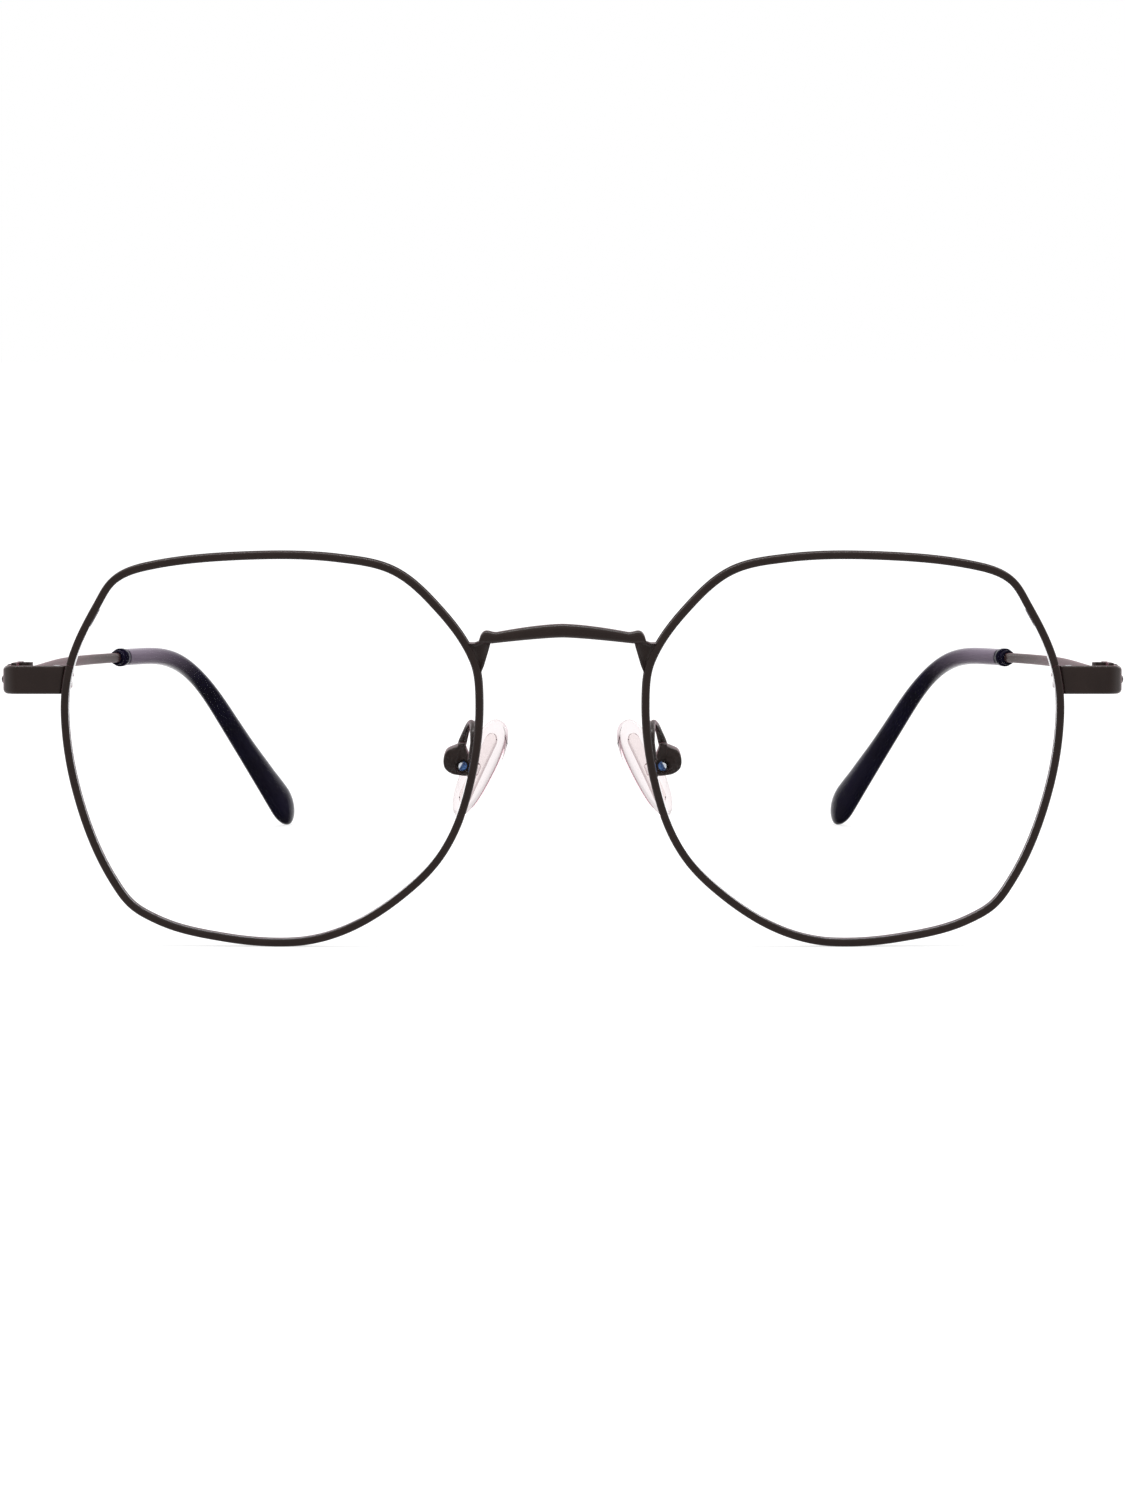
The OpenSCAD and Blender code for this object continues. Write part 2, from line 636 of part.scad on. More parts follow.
// The lower block is soldered to the rim below the seam and to the endpiece's plate
module closing_block(side) {
  beside = min(temple_x(outer_edge, block_low), temple_x(outer_edge, block_top)) - seat_gap;
  outer = seam.x - rim_out - lug_out;
  inner = min(temple_x(edge, block_low), temple_x(edge, block_top)) + groove_d - 0.1;
  color(metal) on_side(side) difference() {
    on_eye() difference() {
      union() {
        block(outer, inner, lug_y, lug_y + lug_d, block_low, block_top);
        block(outer, beside, lug_y - rim_d, lug_y + 0.1, block_low, block_top);
      }
      lock_hole(lock_screw_d + 0.04);
    }
    on_hinge() block(-30, 10, -end_l - 10, end_t - end_l + seat_gap, -10, 10);
  }
}

module rim_lock_screw(side) {
  color(bare_steel) on_side(side) on_eye() translate([lock_x, lock_y, lug_foot_top + 0.01])
    screw(lock_screw_d, lug_foot_top - block_low - 0.4, 1.5, lock_head_h);
}

// Point on the centre line of the arm where it is soldered along the rim's back
function arm_foot(z) = let (x = nasal_x(edge, z))
  in_front([x - arm_in, dome(x, z) + half_d + arm_r + seat_gap, z]);

module pad_arm(side) {
  up = [sin(pad_tilt), 0, cos(pad_tilt)];
  out = [cos(pad_tilt), 0, -sin(pad_tilt)];
  low_z = pad_z + 1.7;
  foot = arm_foot(low_z + 2.2);
  head = pad_point - 0.7 * out + (box_top + seat_gap) * up;
  loop = 3.3;
  path = concat(
    [arm_foot(low_z), arm_foot(low_z + 1.1)],
    [for (k = [0:10]) bezier(foot, foot + [0, 0.5, loop - 0.4], head + 1.3 * loop * up, head, k / 10)]
  );
  last = len(path) - 1;
  rings = [for (i = [0:last])
    let (
      t = i == last ? -up : unit(path[min(last, i + 1)] - path[max(0, i - 1)]),
      u = unit(cross(t, [1, 0, 0])), v = cross(u, t)
    )
    [for (q = oval(arm_d, arm_d, 8)) path[i] + q[0] * u + q[1] * v]];
  color(metal) on_side(side) on_front() skin(rings);
}

// A slotted box on the end of the arm, open towards the nose and below
module pad_box(side) {
  color(metal) on_side(side) on_pad() difference() {
    standing_plate(-box_t / 2, box_t / 2) rounded(-box_out, box_in, box_low, box_top, 0.9);
    block(-lug_r - 0.3, box_in + 1, -slot_t / 2, slot_t / 2, box_low - 1, lug_r + 0.5);
    rotate([90, 0, 0]) cylinder(d = pad_screw_d + 0.04, h = 2 * box_t, center = true);
  }
}

module pad_screw(side) {
  color(bare_steel) on_side(side) on_pad() translate([0, -box_t / 2 - 0.01, 0])
    rotate([90, 40, 0]) screw(pad_screw_d, box_t - 0.1, 1.2, 0.4);
}

// The stiff core inside a pad: a plate, and a lug that turns on the pad's screw
module pad_core_shape(grow) {
  plate_t = 0.5 + 2 * grow;
  plate_w = pad_w * 0.5 + 2 * grow;
  plate_h = pad_h * 0.6 + 2 * grow;
  t = core_t / 2 + grow;
  on_pad_plate() translate([-0.1, 0, 0]) cube([plate_t, plate_w, plate_h], center = true);
  rotate([90, 0, 0]) cylinder(r = lug_r + grow, h = 2 * t, center = true);
  difference() {
    block(0, pad_x + 1, -t, t, -lug_r - grow, lug_r + grow);
    on_pad_plate() block(-0.1, 5, -5, 5, -5, 5);
  }
}

module pad_core(side) {
  color(clear) on_side(side) on_pad() difference() {
    pad_core_shape(0);
    rotate([90, 0, 0]) cylinder(d = pad_screw_d + 2 * run_gap, h = 2 * core_t, center = true);
  }
}

module nose_pad(side) {
  function full(q) = pow(1 - pow(abs(q), 2.4), 1 / 2.4);
  function thick(q) = pow(1 - pow(abs(q), 4), 1 / 2.6);
  // The pad is wider at the top than at the bottom
  function wide(q) = pad_w * full(q) * (1 + pad_taper * q);
  levels = [0.985, 0.93, 0.82, 0.65, 0.45, 0.2, 0, -0.2, -0.45, -0.65, -0.82, -0.93, -0.985];
  rings = [for (q = levels) [for (p = oval(pad_t * thick(q), wide(q), 14))
    [p[0], p[1], q * pad_h / 2]]];
  color(clear) on_side(side) on_pad() difference() {
    on_pad_plate() skin(rings);
    pad_core_shape(seat_gap);
  }
}

bridge();
rim("right");  // rim_right
rim("left");  // rim_left
lens("right");  // lens_right
lens("left");  // lens_left
closing_lug("right");  // closing_lug_right
closing_lug("left");  // closing_lug_left
closing_block("right");  // closing_block_right
closing_block("left");  // closing_block_left
rim_lock_screw("right");  // rim_lock_screw_right
rim_lock_screw("left");  // rim_lock_screw_left
endpiece("right");  // endpiece_right
endpiece("left");  // endpiece_left
side_rivet("right");  // side_rivet_right
side_rivet("left");  // side_rivet_left
hinge_front_leaf("right");  // hinge_front_leaf_right
hinge_front_leaf("left");  // hinge_front_leaf_left
hinge_screw("right");  // hinge_screw_right
hinge_screw("left");  // hinge_screw_left
pad_arm("right");  // pad_arm_right
pad_arm("left");  // pad_arm_left
pad_box("right");  // pad_box_right
pad_box("left");  // pad_box_left
pad_screw("right");  // pad_screw_right
pad_screw("left");  // pad_screw_left
pad_core("right");  // pad_core_right
pad_core("left");  // pad_core_left
nose_pad("right");  // nose_pad_right
nose_pad("left");  // nose_pad_left
hinge_temple_leaf("right");  // hinge_temple_leaf_right
hinge_temple_leaf("left");  // hinge_temple_leaf_left
temple("right");  // temple_right
temple("left");  // temple_left
temple_tip("right");  // temple_tip_right
temple_tip("left");  // temple_tip_left
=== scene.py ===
# Metal-rimmed computer glasses on a white table: lacquered wire rims, clear lenses, clear nose pads
# and sleeved temples. Sizes are in millimetres. X runs to the wearer's left, Y to the back and Z up.
# What comes in pairs is drawn for the wearer's right, and mirrored for the left.
import json
import math

import bmesh
import bpy
from mathutils import Matrix, Vector


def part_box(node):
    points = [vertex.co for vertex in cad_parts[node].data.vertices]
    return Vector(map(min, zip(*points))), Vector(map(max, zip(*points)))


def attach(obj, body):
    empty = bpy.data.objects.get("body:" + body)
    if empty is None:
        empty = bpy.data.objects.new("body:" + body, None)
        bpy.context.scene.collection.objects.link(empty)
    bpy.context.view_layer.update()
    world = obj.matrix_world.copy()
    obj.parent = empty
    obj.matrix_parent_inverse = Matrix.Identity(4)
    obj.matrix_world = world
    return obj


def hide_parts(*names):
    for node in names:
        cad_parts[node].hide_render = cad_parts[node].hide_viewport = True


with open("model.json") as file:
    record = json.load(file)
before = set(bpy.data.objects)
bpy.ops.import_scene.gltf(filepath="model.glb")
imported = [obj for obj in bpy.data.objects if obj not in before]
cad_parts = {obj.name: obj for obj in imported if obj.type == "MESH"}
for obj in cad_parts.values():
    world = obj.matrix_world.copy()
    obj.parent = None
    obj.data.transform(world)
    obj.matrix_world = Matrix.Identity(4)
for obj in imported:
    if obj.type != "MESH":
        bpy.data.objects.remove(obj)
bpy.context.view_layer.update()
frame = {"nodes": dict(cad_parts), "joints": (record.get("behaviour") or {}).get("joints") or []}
print("frame loaded")

mm = 0.001
sides = ("right", "left")
joints = {joint["name"]: joint for joint in frame["joints"]}


# a new object in the scene
def addObject(name, data):
    added = bpy.data.objects.new(name, data)
    bpy.context.scene.collection.objects.link(added)
    return added


# the photograph's view: straight on, a little above the glasses
camera = {
    "imageHeight": 1500, "focalPixels": 4782, "sensor": 36,
    "back": 659.47, "up": 87.6, "pitch": 6,
}

cameraData = bpy.data.cameras.new("camera")
cameraData.sensor_width = camera["sensor"]
cameraData.lens = camera["focalPixels"] / camera["imageHeight"] * camera["sensor"]
cameraObject = addObject("camera", cameraData)
cameraObject.location = (0, -camera["back"] * mm, camera["up"] * mm)
cameraObject.rotation_euler = (math.radians(90 - camera["pitch"]), 0, 0)
bpy.context.scene.camera = cameraObject


# small helpers for curves and turns
def blend(t):
    u = min(1, max(0, t))
    return u * u * (3 - 2 * u)


def mix(a, b, t):
    return a + (b - a) * t


def bezier(a, b, c, d, t):
    return (1 - t) ** 3 * a + 3 * t * (1 - t) ** 2 * b + 3 * t * t * (1 - t) * c + t ** 3 * d


def along(degrees):
    return Vector((math.cos(math.radians(degrees)), math.sin(math.radians(degrees))))


def turned(degrees, axis):
    return Matrix.Rotation(math.radians(degrees), 4, axis)


def spread(start, end, count):
    return [mix(start, end, k / (count - 1)) for k in range(count)]


# a smooth closed line through points
def loopThrough(points, steps):
    count = len(points)
    drawn = []
    for i in range(count):
        a, b, c, d = [Vector(points[(i + k) % count]) for k in (-1, 0, 1, 2)]
        drawn += [bezier(b, b + (c - a) / 6, c - (d - b) / 6, c, k / steps) for k in range(steps)]
    return drawn


# a smooth value between knots of (place, value)
def smoothValue(knots, place):
    last = len(knots) - 1
    i = max(k for k in range(last) if knots[k][0] <= place or k == 0)
    a, b, c, d = [knots[min(last, max(0, i + k))][1] for k in (-1, 0, 1, 2)]
    share = min(1, (place - knots[i][0]) / (knots[i + 1][0] - knots[i][0]))
    return bezier(b, b + (c - a) / 6, c - (d - b) / 6, c, share)


# a closed line moved outwards. The line runs counter-clockwise
def shifted(line, distance):
    count = len(line)
    moved = []
    for i in range(count):
        before, after = line[i - 1], line[(i + 1) % count]
        outward = Vector((after.y - before.y, before.x - after.x)).normalized()
        moved.append(line[i] + distance * outward)
    return moved


# the lens's edge, seen from the front, is a rounded shape with seven sides
lens = {
    "width": 52, "height": 49.1, "gap": 20.8, "wrap": 2,
    "radius": 260, "thickness": 1.3, "edge": 0.45, "bevel": 0.15, "clear": 0.05,
    "stepsPerStretch": 14,
    # x towards the nose, z up, and the heading there, counter-clockwise
    "knots": [
        (26, 6.5, 91), (25.3, 11.4, 112), (21.1, 17.7, 132), (15, 22.8, 156),
        (8.5, 24.2, 173), (-4.5, 24.4, 183), (-15.7, 23, 193), (-19.5, 21.4, 218),
        (-21.8, 18.1, 240), (-25.1, 11.1, 253), (-26, 4.6, 271), (-24.7, -5.1, 284),
        (-20.2, -16.6, 301), (-17.9, -19.7, 318), (-14.7, -21.6, 335), (-6.1, -23.8, 351),
        (2.3, -24.3, 3), (9, -22.7, 23), (16.2, -18.2, 39), (21, -13.3, 55), (24, -7, 73),
    ],
}

# the wire stands half its width outside the lens's edge, and holds the lens in a groove
rim = {"width": 1, "depth": 1.5, "groove": 0.5, "mouth": 0.44, "floor": 0.3, "rounding": 0.27}

# sizes that several pieces share
hinge = {
    "up": 8.25, "length": 6, "slopeAbout": 3, "barrel": 1.15, "seat": 0.03, "butt": 0.02, "slack": 0.01,
}
pad = {
    "height": 13.5, "width": 6.732, "thickness": 1.7, "tilt": 20, "splay": 34, "lean": 5, "taper": 0.12,
    "up": -3.1, "back": 9, "plateOut": 2.3, "plateBack": 1, "outlinePower": 2.4, "sectionPower": 2.1,
}
endpiece = {
    "height": 3.55, "front": 1.2, "side": 1, "bend": 2, "edge": 0.3, "corner": 0.62,
    "recess": 0.34, "sink": 0.17, "corners": 8, "ringGap": 0.3,
    # the end beside the rim: share of the way to the bend, and how far the face is rounded back there
    "dips": [(0, 0.5), (0.03, 0.14), (0.06, 0.04)],
}


def stretchAt(a, b, t):
    turn = (b[2] - a[2] + 720) % 360
    start, end = Vector(a[:2]), Vector(b[:2])
    handle = (end - start).length / 3 / math.cos(math.radians(turn / 4)) ** 2
    return bezier(start, start + handle * along(a[2]), end - handle * along(b[2]), end, t)


def lensOutline():
    steps, knots = lens["stepsPerStretch"], lens["knots"]
    stretches = list(zip(knots, knots[1:] + knots[:1]))
    drawn = [stretchAt(a, b, k / steps) for a, b in stretches for k in range(steps)]
    low = [min(p[i] for p in drawn) for i in (0, 1)]
    high = [max(p[i] for p in drawn) for i in (0, 1)]
    size = (lens["width"], lens["height"])
    return [
        Vector([((p[i] - low[i]) / (high[i] - low[i]) - 0.5) * size[i] for i in (0, 1)]) for p in drawn
    ]


def dome(x, z):
    return lens["radius"] - math.sqrt(lens["radius"] ** 2 - x * x - z * z)


# x of an outline at a height, on its nose side (1) or its temple side (-1)
def edgeAt(line, z, side):
    for a, b in zip(line, line[1:] + line[:1]):
        if a.x * side > 0 and min(a.y, b.y) <= z <= max(a.y, b.y) and a.y != b.y:
            return mix(a.x, b.x, (z - a.y) / (b.y - a.y))


edge = lensOutline()
outerEdge = shifted(edge, rim["width"] - rim["groove"])

# places of the glasses' own parts in the shared frame, worked out from the joints
foldSpot = Vector(joints["temple_fold_right"]["pos_m"])
foldAxis = Vector(joints["temple_fold_right"]["axis"])
padSpot = Vector(joints["pad_rock_right"]["pos_m"])
padAxis = Vector(joints["pad_rock_right"]["axis"])
scale = Matrix.Scale(mm, 4)
leanTurn = Matrix.Rotation(math.atan2(padAxis.z, padAxis.y), 4, "X")
padOffset = leanTurn @ Vector((0, pad["back"], pad["up"])) * mm
frontPlace = Matrix.Translation((0, padSpot.y - padOffset.y, padSpot.z - padOffset.z)) @ leanTurn @ scale
eyeX = (lens["width"] + lens["gap"]) / 2
eyeTurn = Matrix.Translation((-eyeX, 0, 0)) @ turned(-lens["wrap"], "Z")
eyePlace = frontPlace @ eyeTurn
slopeTurn = Matrix.Rotation(math.atan2(foldAxis.y, -foldAxis.z), 4, "X")
hingePlace = Matrix.Translation(foldSpot) @ slopeTurn @ Matrix.Diagonal((-mm, mm, mm, 1))
boxPlace = Matrix.Translation(padSpot) @ leanTurn @ scale
padTurn = turned(pad["tilt"], "Y")
plateSpot = Matrix.Translation((pad["plateOut"], pad["plateBack"], 0))
platePlace = plateSpot @ turned(pad["lean"], "Y") @ turned(pad["splay"], "Z")

# in the hinge's place, x of the inner and outer faces of the endpiece's side and the temple's plate
sideIn = hinge["barrel"] + hinge["seat"]
sideOut = sideIn + endpiece["side"]


def inFront(x, y, z):
    return eyeTurn @ Vector((x, y, z))


def nasalEdge(z):
    x = edgeAt(outerEdge, z, 1)
    return -inFront(x, dome(x, z), z).x


def templeEdge(z):
    x = edgeAt(outerEdge, z, -1)
    return -inFront(x, dome(x, z) - rim["depth"] / 2, z).x


# materials. A noise's values lie mostly between these two, and most bumps have this strength
noiseLow, noiseHigh = 0.3, 0.7
bumpStrength = 0.3


# one node with its settings, and its inputs' values or links. A node stands for its first output
def addNode(tree, kind, inputs=None, **settings):
    node = tree.nodes.new(kind)
    for name, value in settings.items():
        setattr(node, name, value)
    for key, value in (inputs or {}).items():
        if isinstance(value, bpy.types.Node):
            value = value.outputs[0]
        if isinstance(value, bpy.types.NodeSocket):
            tree.links.new(value, node.inputs[key])
        else:
            node.inputs[key].default_value = value
    return node


# sRGB hex to the linear colour that nodes work in
def linear(code):
    parts = [int(code[i:i + 2], 16) / 255 for i in (0, 2, 4)]
    return [c / 12.92 if c <= 0.04045 else ((c + 0.055) / 1.055) ** 2.4 for c in parts] + [1]


def newMaterial(name):
    material = bpy.data.materials.new(name)
    material.use_nodes = True
    material.node_tree.nodes.clear()
    return material, material.node_tree


# nickel silver under sprayed satin lacquer: brown-black, with soft broad glints and a fine spray grain
lacquerLook = {
    "name": "satin lacquer on nickel silver", "dark": "28201e", "light": "342a27", "cloud": 2.5,
    "grain": 0.22, "grainDepth": 0.005, "grainStrength": 0.25, "smooth": 0.28, "rough": 0.38, "ior": 1.5,
    "coat": 0.18, "coatTurned": 0.6, "turnedFrom": 0.03, "turnedTo": 0.26, "coatRough": 0.28,
    "bloom": 0.4, "bloomRough": 0.3, "bloomTint": "d08a9e",
}

# polished acetate: near black, with a violet bloom. Behind its collar a lilac-grey painted reflection is
# laid into its colour, and it fades over the bend. The painted reflection's places are in millimetres
# along the temple
acetateLook = {
    "name": "polished acetate", "dark": "09070e", "light": "131026", "cloud": 6,
    "grain": 2.2, "grainDepth": 0.0015, "grainStrength": 0.3, "smooth": 0.24, "rough": 0.32, "ior": 1.48,
    "coat": 0.04, "coatTurned": 0.9, "turnedFrom": 0.6, "turnedTo": 0.86, "coatRough": 0.2,
    "bloom": 0.14, "bloomRough": 0.25, "bloomTint": "b08fd0",
    "paintedGlare": {"colour": "776c7a", "start": 71.3, "edge": 0.5, "fadeFrom": 75, "fadeTo": 97},
}


# the painted lilac-grey reflection: laid into the colour from the collar on, and fading over the bend
def addPaintedGlare(tree, colour, paintedGlare):
    place = addNode(tree, "ShaderNodeAttribute", attribute_name="alongTemple").outputs["Fac"]
    past = addNode(tree, "ShaderNodeMapRange", {
        "Value": place, "From Min": paintedGlare["start"], "From Max": paintedGlare["start"] + paintedGlare["edge"],
    })
    fading = addNode(tree, "ShaderNodeMapRange", {
        "Value": place, "From Min": paintedGlare["fadeFrom"], "From Max": paintedGlare["fadeTo"],
        "To Min": 1.0, "To Max": 0.0,
    }, interpolation_type="SMOOTHSTEP")
    amount = addNode(tree, "ShaderNodeMath", {0: past, 1: fading}, operation="MULTIPLY")
    return addNode(tree, "ShaderNodeMix", {
        0: amount, 6: colour, 7: linear(paintedGlare["colour"]),
    }, data_type="RGBA").outputs[2]


# a coat over a mottled ground. The coat's gloss grows as the surface turns away from the eye
def makeCoated(look):
    material, tree = newMaterial(look["name"])
    spot = addNode(tree, "ShaderNodeTexCoord").outputs["Object"]
    cloud = addNode(tree, "ShaderNodeTexNoise", {"Vector": spot, "Scale": 1 / (look["cloud"] * mm)})
    grain = addNode(tree, "ShaderNodeTexNoise", {"Vector": spot, "Scale": 1 / (look["grain"] * mm)})
    colour = addNode(tree, "ShaderNodeMix", {
        0: cloud, 6: linear(look["dark"]), 7: linear(look["light"]),
    }, data_type="RGBA").outputs[2]
    # painted reflection along the acetate's sleeve
    if "paintedGlare" in look:
        colour = addPaintedGlare(tree, colour, look["paintedGlare"])
    roughness = addNode(tree, "ShaderNodeMapRange", {
        "Value": grain, "From Min": noiseLow, "From Max": noiseHigh,
        "To Min": look["smooth"], "To Max": look["rough"],
    })
    bump = addNode(tree, "ShaderNodeBump", {
        "Height": grain, "Strength": look["grainStrength"], "Distance": look["grainDepth"] * mm,
    })
    facing = addNode(tree, "ShaderNodeLayerWeight", {"Blend": 0.5}).outputs["Facing"]
    gloss = addNode(tree, "ShaderNodeMapRange", {
        "Value": facing, "From Min": look["turnedFrom"], "From Max": look["turnedTo"],
        "To Min": look["coat"], "To Max": look["coatTurned"],
    })
    shader = addNode(tree, "ShaderNodeBsdfPrincipled", {
        "Base Color": colour, "Roughness": roughness, "Normal": bump, "IOR": look["ior"],
        "Specular IOR Level": 0.0, "Coat Weight": gloss, "Coat Roughness": look["coatRough"],
        "Coat Normal": bump, "Sheen Weight": look["bloom"], "Sheen Roughness": look["bloomRough"],
        "Sheen Tint": linear(look["bloomTint"]),
    })
    addNode(tree, "ShaderNodeOutputMaterial", {"Surface": shader})
    return material


# turned stainless steel: bright, with rings left by the lathe. Blue thread lock is smeared over the
# far side of the pad screws' heads, and leaves a bright crescent
steelLook = {
    "steel": "d6dae0", "rough": 0.26, "ring": 0.09, "ringDepth": 0.004,
    "lock": "3c6aa6", "lockDark": "1d3566", "speck": 0.3, "darkFrom": 0.4, "darkTo": 0.62,
    "lockRagged": 0.2, "lockFrom": -0.1, "lockTo": -0.02,
}


def makeTurnedSteel():
    look = steelLook
    material, tree = newMaterial("turned stainless steel")
    spot = addNode(tree, "ShaderNodeAttribute", attribute_name="onScrew").outputs["Vector"]
    flat = addNode(tree, "ShaderNodeVectorMath", {0: spot, 1: (1, 1, 0)}, operation="MULTIPLY")
    turn = addNode(tree, "ShaderNodeVectorMath", {0: flat}, operation="LENGTH").outputs["Value"]
    phase = addNode(tree, "ShaderNodeMath", {0: turn, 1: 2 * math.pi / look["ring"]}, operation="MULTIPLY")
    rings = addNode(tree, "ShaderNodeMath", {0: phase}, operation="SINE")
    bump = addNode(tree, "ShaderNodeBump", {
        "Height": rings, "Strength": bumpStrength, "Distance": look["ringDepth"] * mm,
    })
    speck = addNode(tree, "ShaderNodeTexNoise", {"Vector": spot, "Scale": 1 / look["speck"]})
    across = addNode(tree, "ShaderNodeSeparateXYZ", {0: spot}).outputs["X"]
    ragged = addNode(tree, "ShaderNodeMath", {
        0: speck, 1: look["lockRagged"], 2: across,
    }, operation="MULTIPLY_ADD")
    smear = addNode(tree, "ShaderNodeMapRange", {
        "Value": ragged, "From Min": look["lockFrom"], "From Max": look["lockTo"],
    })
    amount = addNode(tree, "ShaderNodeAttribute", attribute_name="lock").outputs["Fac"]
    locked = addNode(tree, "ShaderNodeMath", {0: smear, 1: amount}, operation="MULTIPLY")
    depth = addNode(tree, "ShaderNodeMapRange", {
        "Value": speck, "From Min": look["darkFrom"], "From Max": look["darkTo"],
    })
    blue = addNode(tree, "ShaderNodeMix", {
        0: depth, 6: linear(look["lock"]), 7: linear(look["lockDark"]),
    }, data_type="RGBA").outputs[2]
    colour = addNode(tree, "ShaderNodeMix", {
        0: locked, 6: linear(look["steel"]), 7: blue,
    }, data_type="RGBA").outputs[2]
    metal = addNode(tree, "ShaderNodeMath", {0: 1.0, 1: locked}, operation="SUBTRACT")
    shader = addNode(tree, "ShaderNodeBsdfPrincipled", {
        "Base Color": colour, "Metallic": metal, "Roughness": look["rough"], "Normal": bump,
    })
    addNode(tree, "ShaderNodeOutputMaterial", {"Surface": shader})
    return material


# clear plastics. The lens is polycarbonate with a coat that takes nearly all of its mirror image away,
# which a low IOR stands for. The pad is soft silicone with a faint pink cast and a skin that isn't
# quite smooth. The core is stiff moulded polycarbonate, seen by its edges in the silicone
clearLooks = {
    "lens": {"name": "coated polycarbonate", "colour": "ffffff", "edge": "f2f6ff", "shade": "f6f7f8",
             "ior": 1.05, "rough": 0.0, "skin": 9, "skinDepth": 0.0005, "edgeFrom": 0.5, "edgeTo": 0.95},
    "silicone": {"name": "clear silicone", "colour": "e8e1e2", "edge": "b4a6a6", "shade": "e6dddf",
                 "ior": 1.15, "rough": 0.02, "skin": 1.4, "skinDepth": 0.006,
                 "edgeFrom": 0.45, "edgeTo": 0.95},
    # the core's dark edge colour is mostly painted shade for the thin dark lines at its edges
    "core": {"name": "moulded polycarbonate", "colour": "f4eeed", "edge": "4a3a36", "shade": "e6dddf",
             "ior": 1.14, "rough": 0.0, "skin": 2.5, "skinDepth": 0.003, "edgeFrom": 0.38, "edgeTo": 0.75},
}


# a clear plastic is darker where it is seen along its skin, partly because more of it is looked through
# and partly as painted shade for the dark lines at its edges.
# Light on its way between a lamp and other surfaces passes straight through, so that its shadow stays
# faint and nothing behind it is speckled
def makeClear(look):
    material, tree = newMaterial(look["name"])
    spot = addNode(tree, "ShaderNodeTexCoord").outputs["Object"]
    skin = addNode(tree, "ShaderNodeTexNoise", {"Vector": spot, "Scale": 1 / (look["skin"] * mm)})
    bump = addNode(tree, "ShaderNodeBump", {
        "Height": skin, "Strength": bumpStrength, "Distance": look["skinDepth"] * mm,
    })
    facing = addNode(tree, "ShaderNodeLayerWeight", {"Blend": 0.5}).outputs["Facing"]
    # painted shade: the colour darkens as the skin turns away from the eye
    grazingShade = addNode(tree, "ShaderNodeMapRange", {
        "Value": facing, "From Min": look["edgeFrom"], "From Max": look["edgeTo"],
    })
    colour = addNode(tree, "ShaderNodeMix", {
        0: grazingShade, 6: linear(look["colour"]), 7: linear(look["edge"]),
    }, data_type="RGBA").outputs[2]
    solid = addNode(tree, "ShaderNodeBsdfPrincipled", {
        "Base Color": colour, "Roughness": look["rough"], "IOR": look["ior"],
        "Transmission Weight": 1.0, "Normal": bump,
    })
    passing = addNode(tree, "ShaderNodeBsdfTransparent", {"Color": linear(look["shade"])})
    path = addNode(tree, "ShaderNodeLightPath").outputs
    going = addNode(tree, "ShaderNodeMath", {
        0: path["Is Shadow Ray"], 1: path["Is Reflection Ray"],
    }, operation="MAXIMUM")
    shader = addNode(tree, "ShaderNodeMixShader", {0: going, 1: solid, 2: passing})
    addNode(tree, "ShaderNodeOutputMaterial", {"Surface": shader})
    return material


lacquer = makeCoated(lacquerLook)
steel = makeTurnedSteel()
clear = {part: makeClear(look) for part, look in clearLooks.items()}
acetate = makeCoated(acetateLook)
print("materials made")


# making, placing and mirroring meshes
def meshFrom(built):
    mesh = bpy.data.meshes.new("piece")
    built.to_mesh(mesh)
    built.free()
    return mesh


# a closed skin through rings that have the same number of points
def loft(rings):
    built = bmesh.new()
    rows = [[built.verts.new(p) for p in ring] for ring in rings]
    count = len(rows[0])
    for low, high in zip(rows, rows[1:]):
        for j in range(count):
            k = (j + 1) % count
            built.faces.new((low[j], low[k], high[k], high[j]))
    built.faces.new(list(reversed(rows[0])))
    built.faces.new(rows[-1])
    bmesh.ops.recalc_face_normals(built, faces=built.faces)
    return meshFrom(built)


# a rectangle with rounded corners: radii for high right, high left, low left, low right
def roundedSection(left, right, low, high, radii, steps=5):
    corners = [(right, high, 0), (left, high, 90), (left, low, 180), (right, low, 270)]
    points = []
    for (x, y, start), radius in zip(corners, radii):
        inward = Vector((-1 if x == right else 1, -1 if y == high else 1))
        centre = Vector((x, y)) + inward * radius
        points += [centre + radius * along(start + 90 * k / steps) for k in range(steps + 1)]
    return points


def superOval(width, height, power, count):
    points = []
    for k in range(count):
        way = along(360 * (k + 0.5) / count)
        reach = [math.copysign(abs(c) ** (2 / power), c) for c in way]
        points.append(Vector((reach[0] * width / 2, reach[1] * height / 2)))
    return points


def disc(diameter, count):
    return superOval(diameter, diameter, 2, count)


# a section drawn in x and z, stood at a depth
def atDepth(section, y):
    return [Vector((p.x, y, p.y)) for p in section]


# the mesh with its modifiers applied, by a short-lived object
def applied(mesh, addModifiers):
    holder = addObject("holder", mesh)
    addModifiers(holder)
    graph = bpy.context.evaluated_depsgraph_get()
    result = bpy.data.meshes.new_from_object(holder.evaluated_get(graph))
    bpy.data.objects.remove(holder)
    return result


def bevelled(mesh, width, segments=3, angle=35):
    def addBevel(holder):
        bevel = holder.modifiers.new("edges", "BEVEL")
        bevel.width = width
        bevel.segments = segments
        bevel.limit_method = "ANGLE"
        bevel.angle_limit = math.radians(angle)
    return applied(mesh, addBevel)


def combined(mesh, other, operation):
    tool = addObject("tool", other)

    def addBoolean(holder):
        boolean = holder.modifiers.new("joined or cut", "BOOLEAN")
        boolean.operation = operation
        boolean.solver = "EXACT"
        boolean.object = tool
    result = applied(mesh, addBoolean)
    bpy.data.objects.remove(tool)
    return result


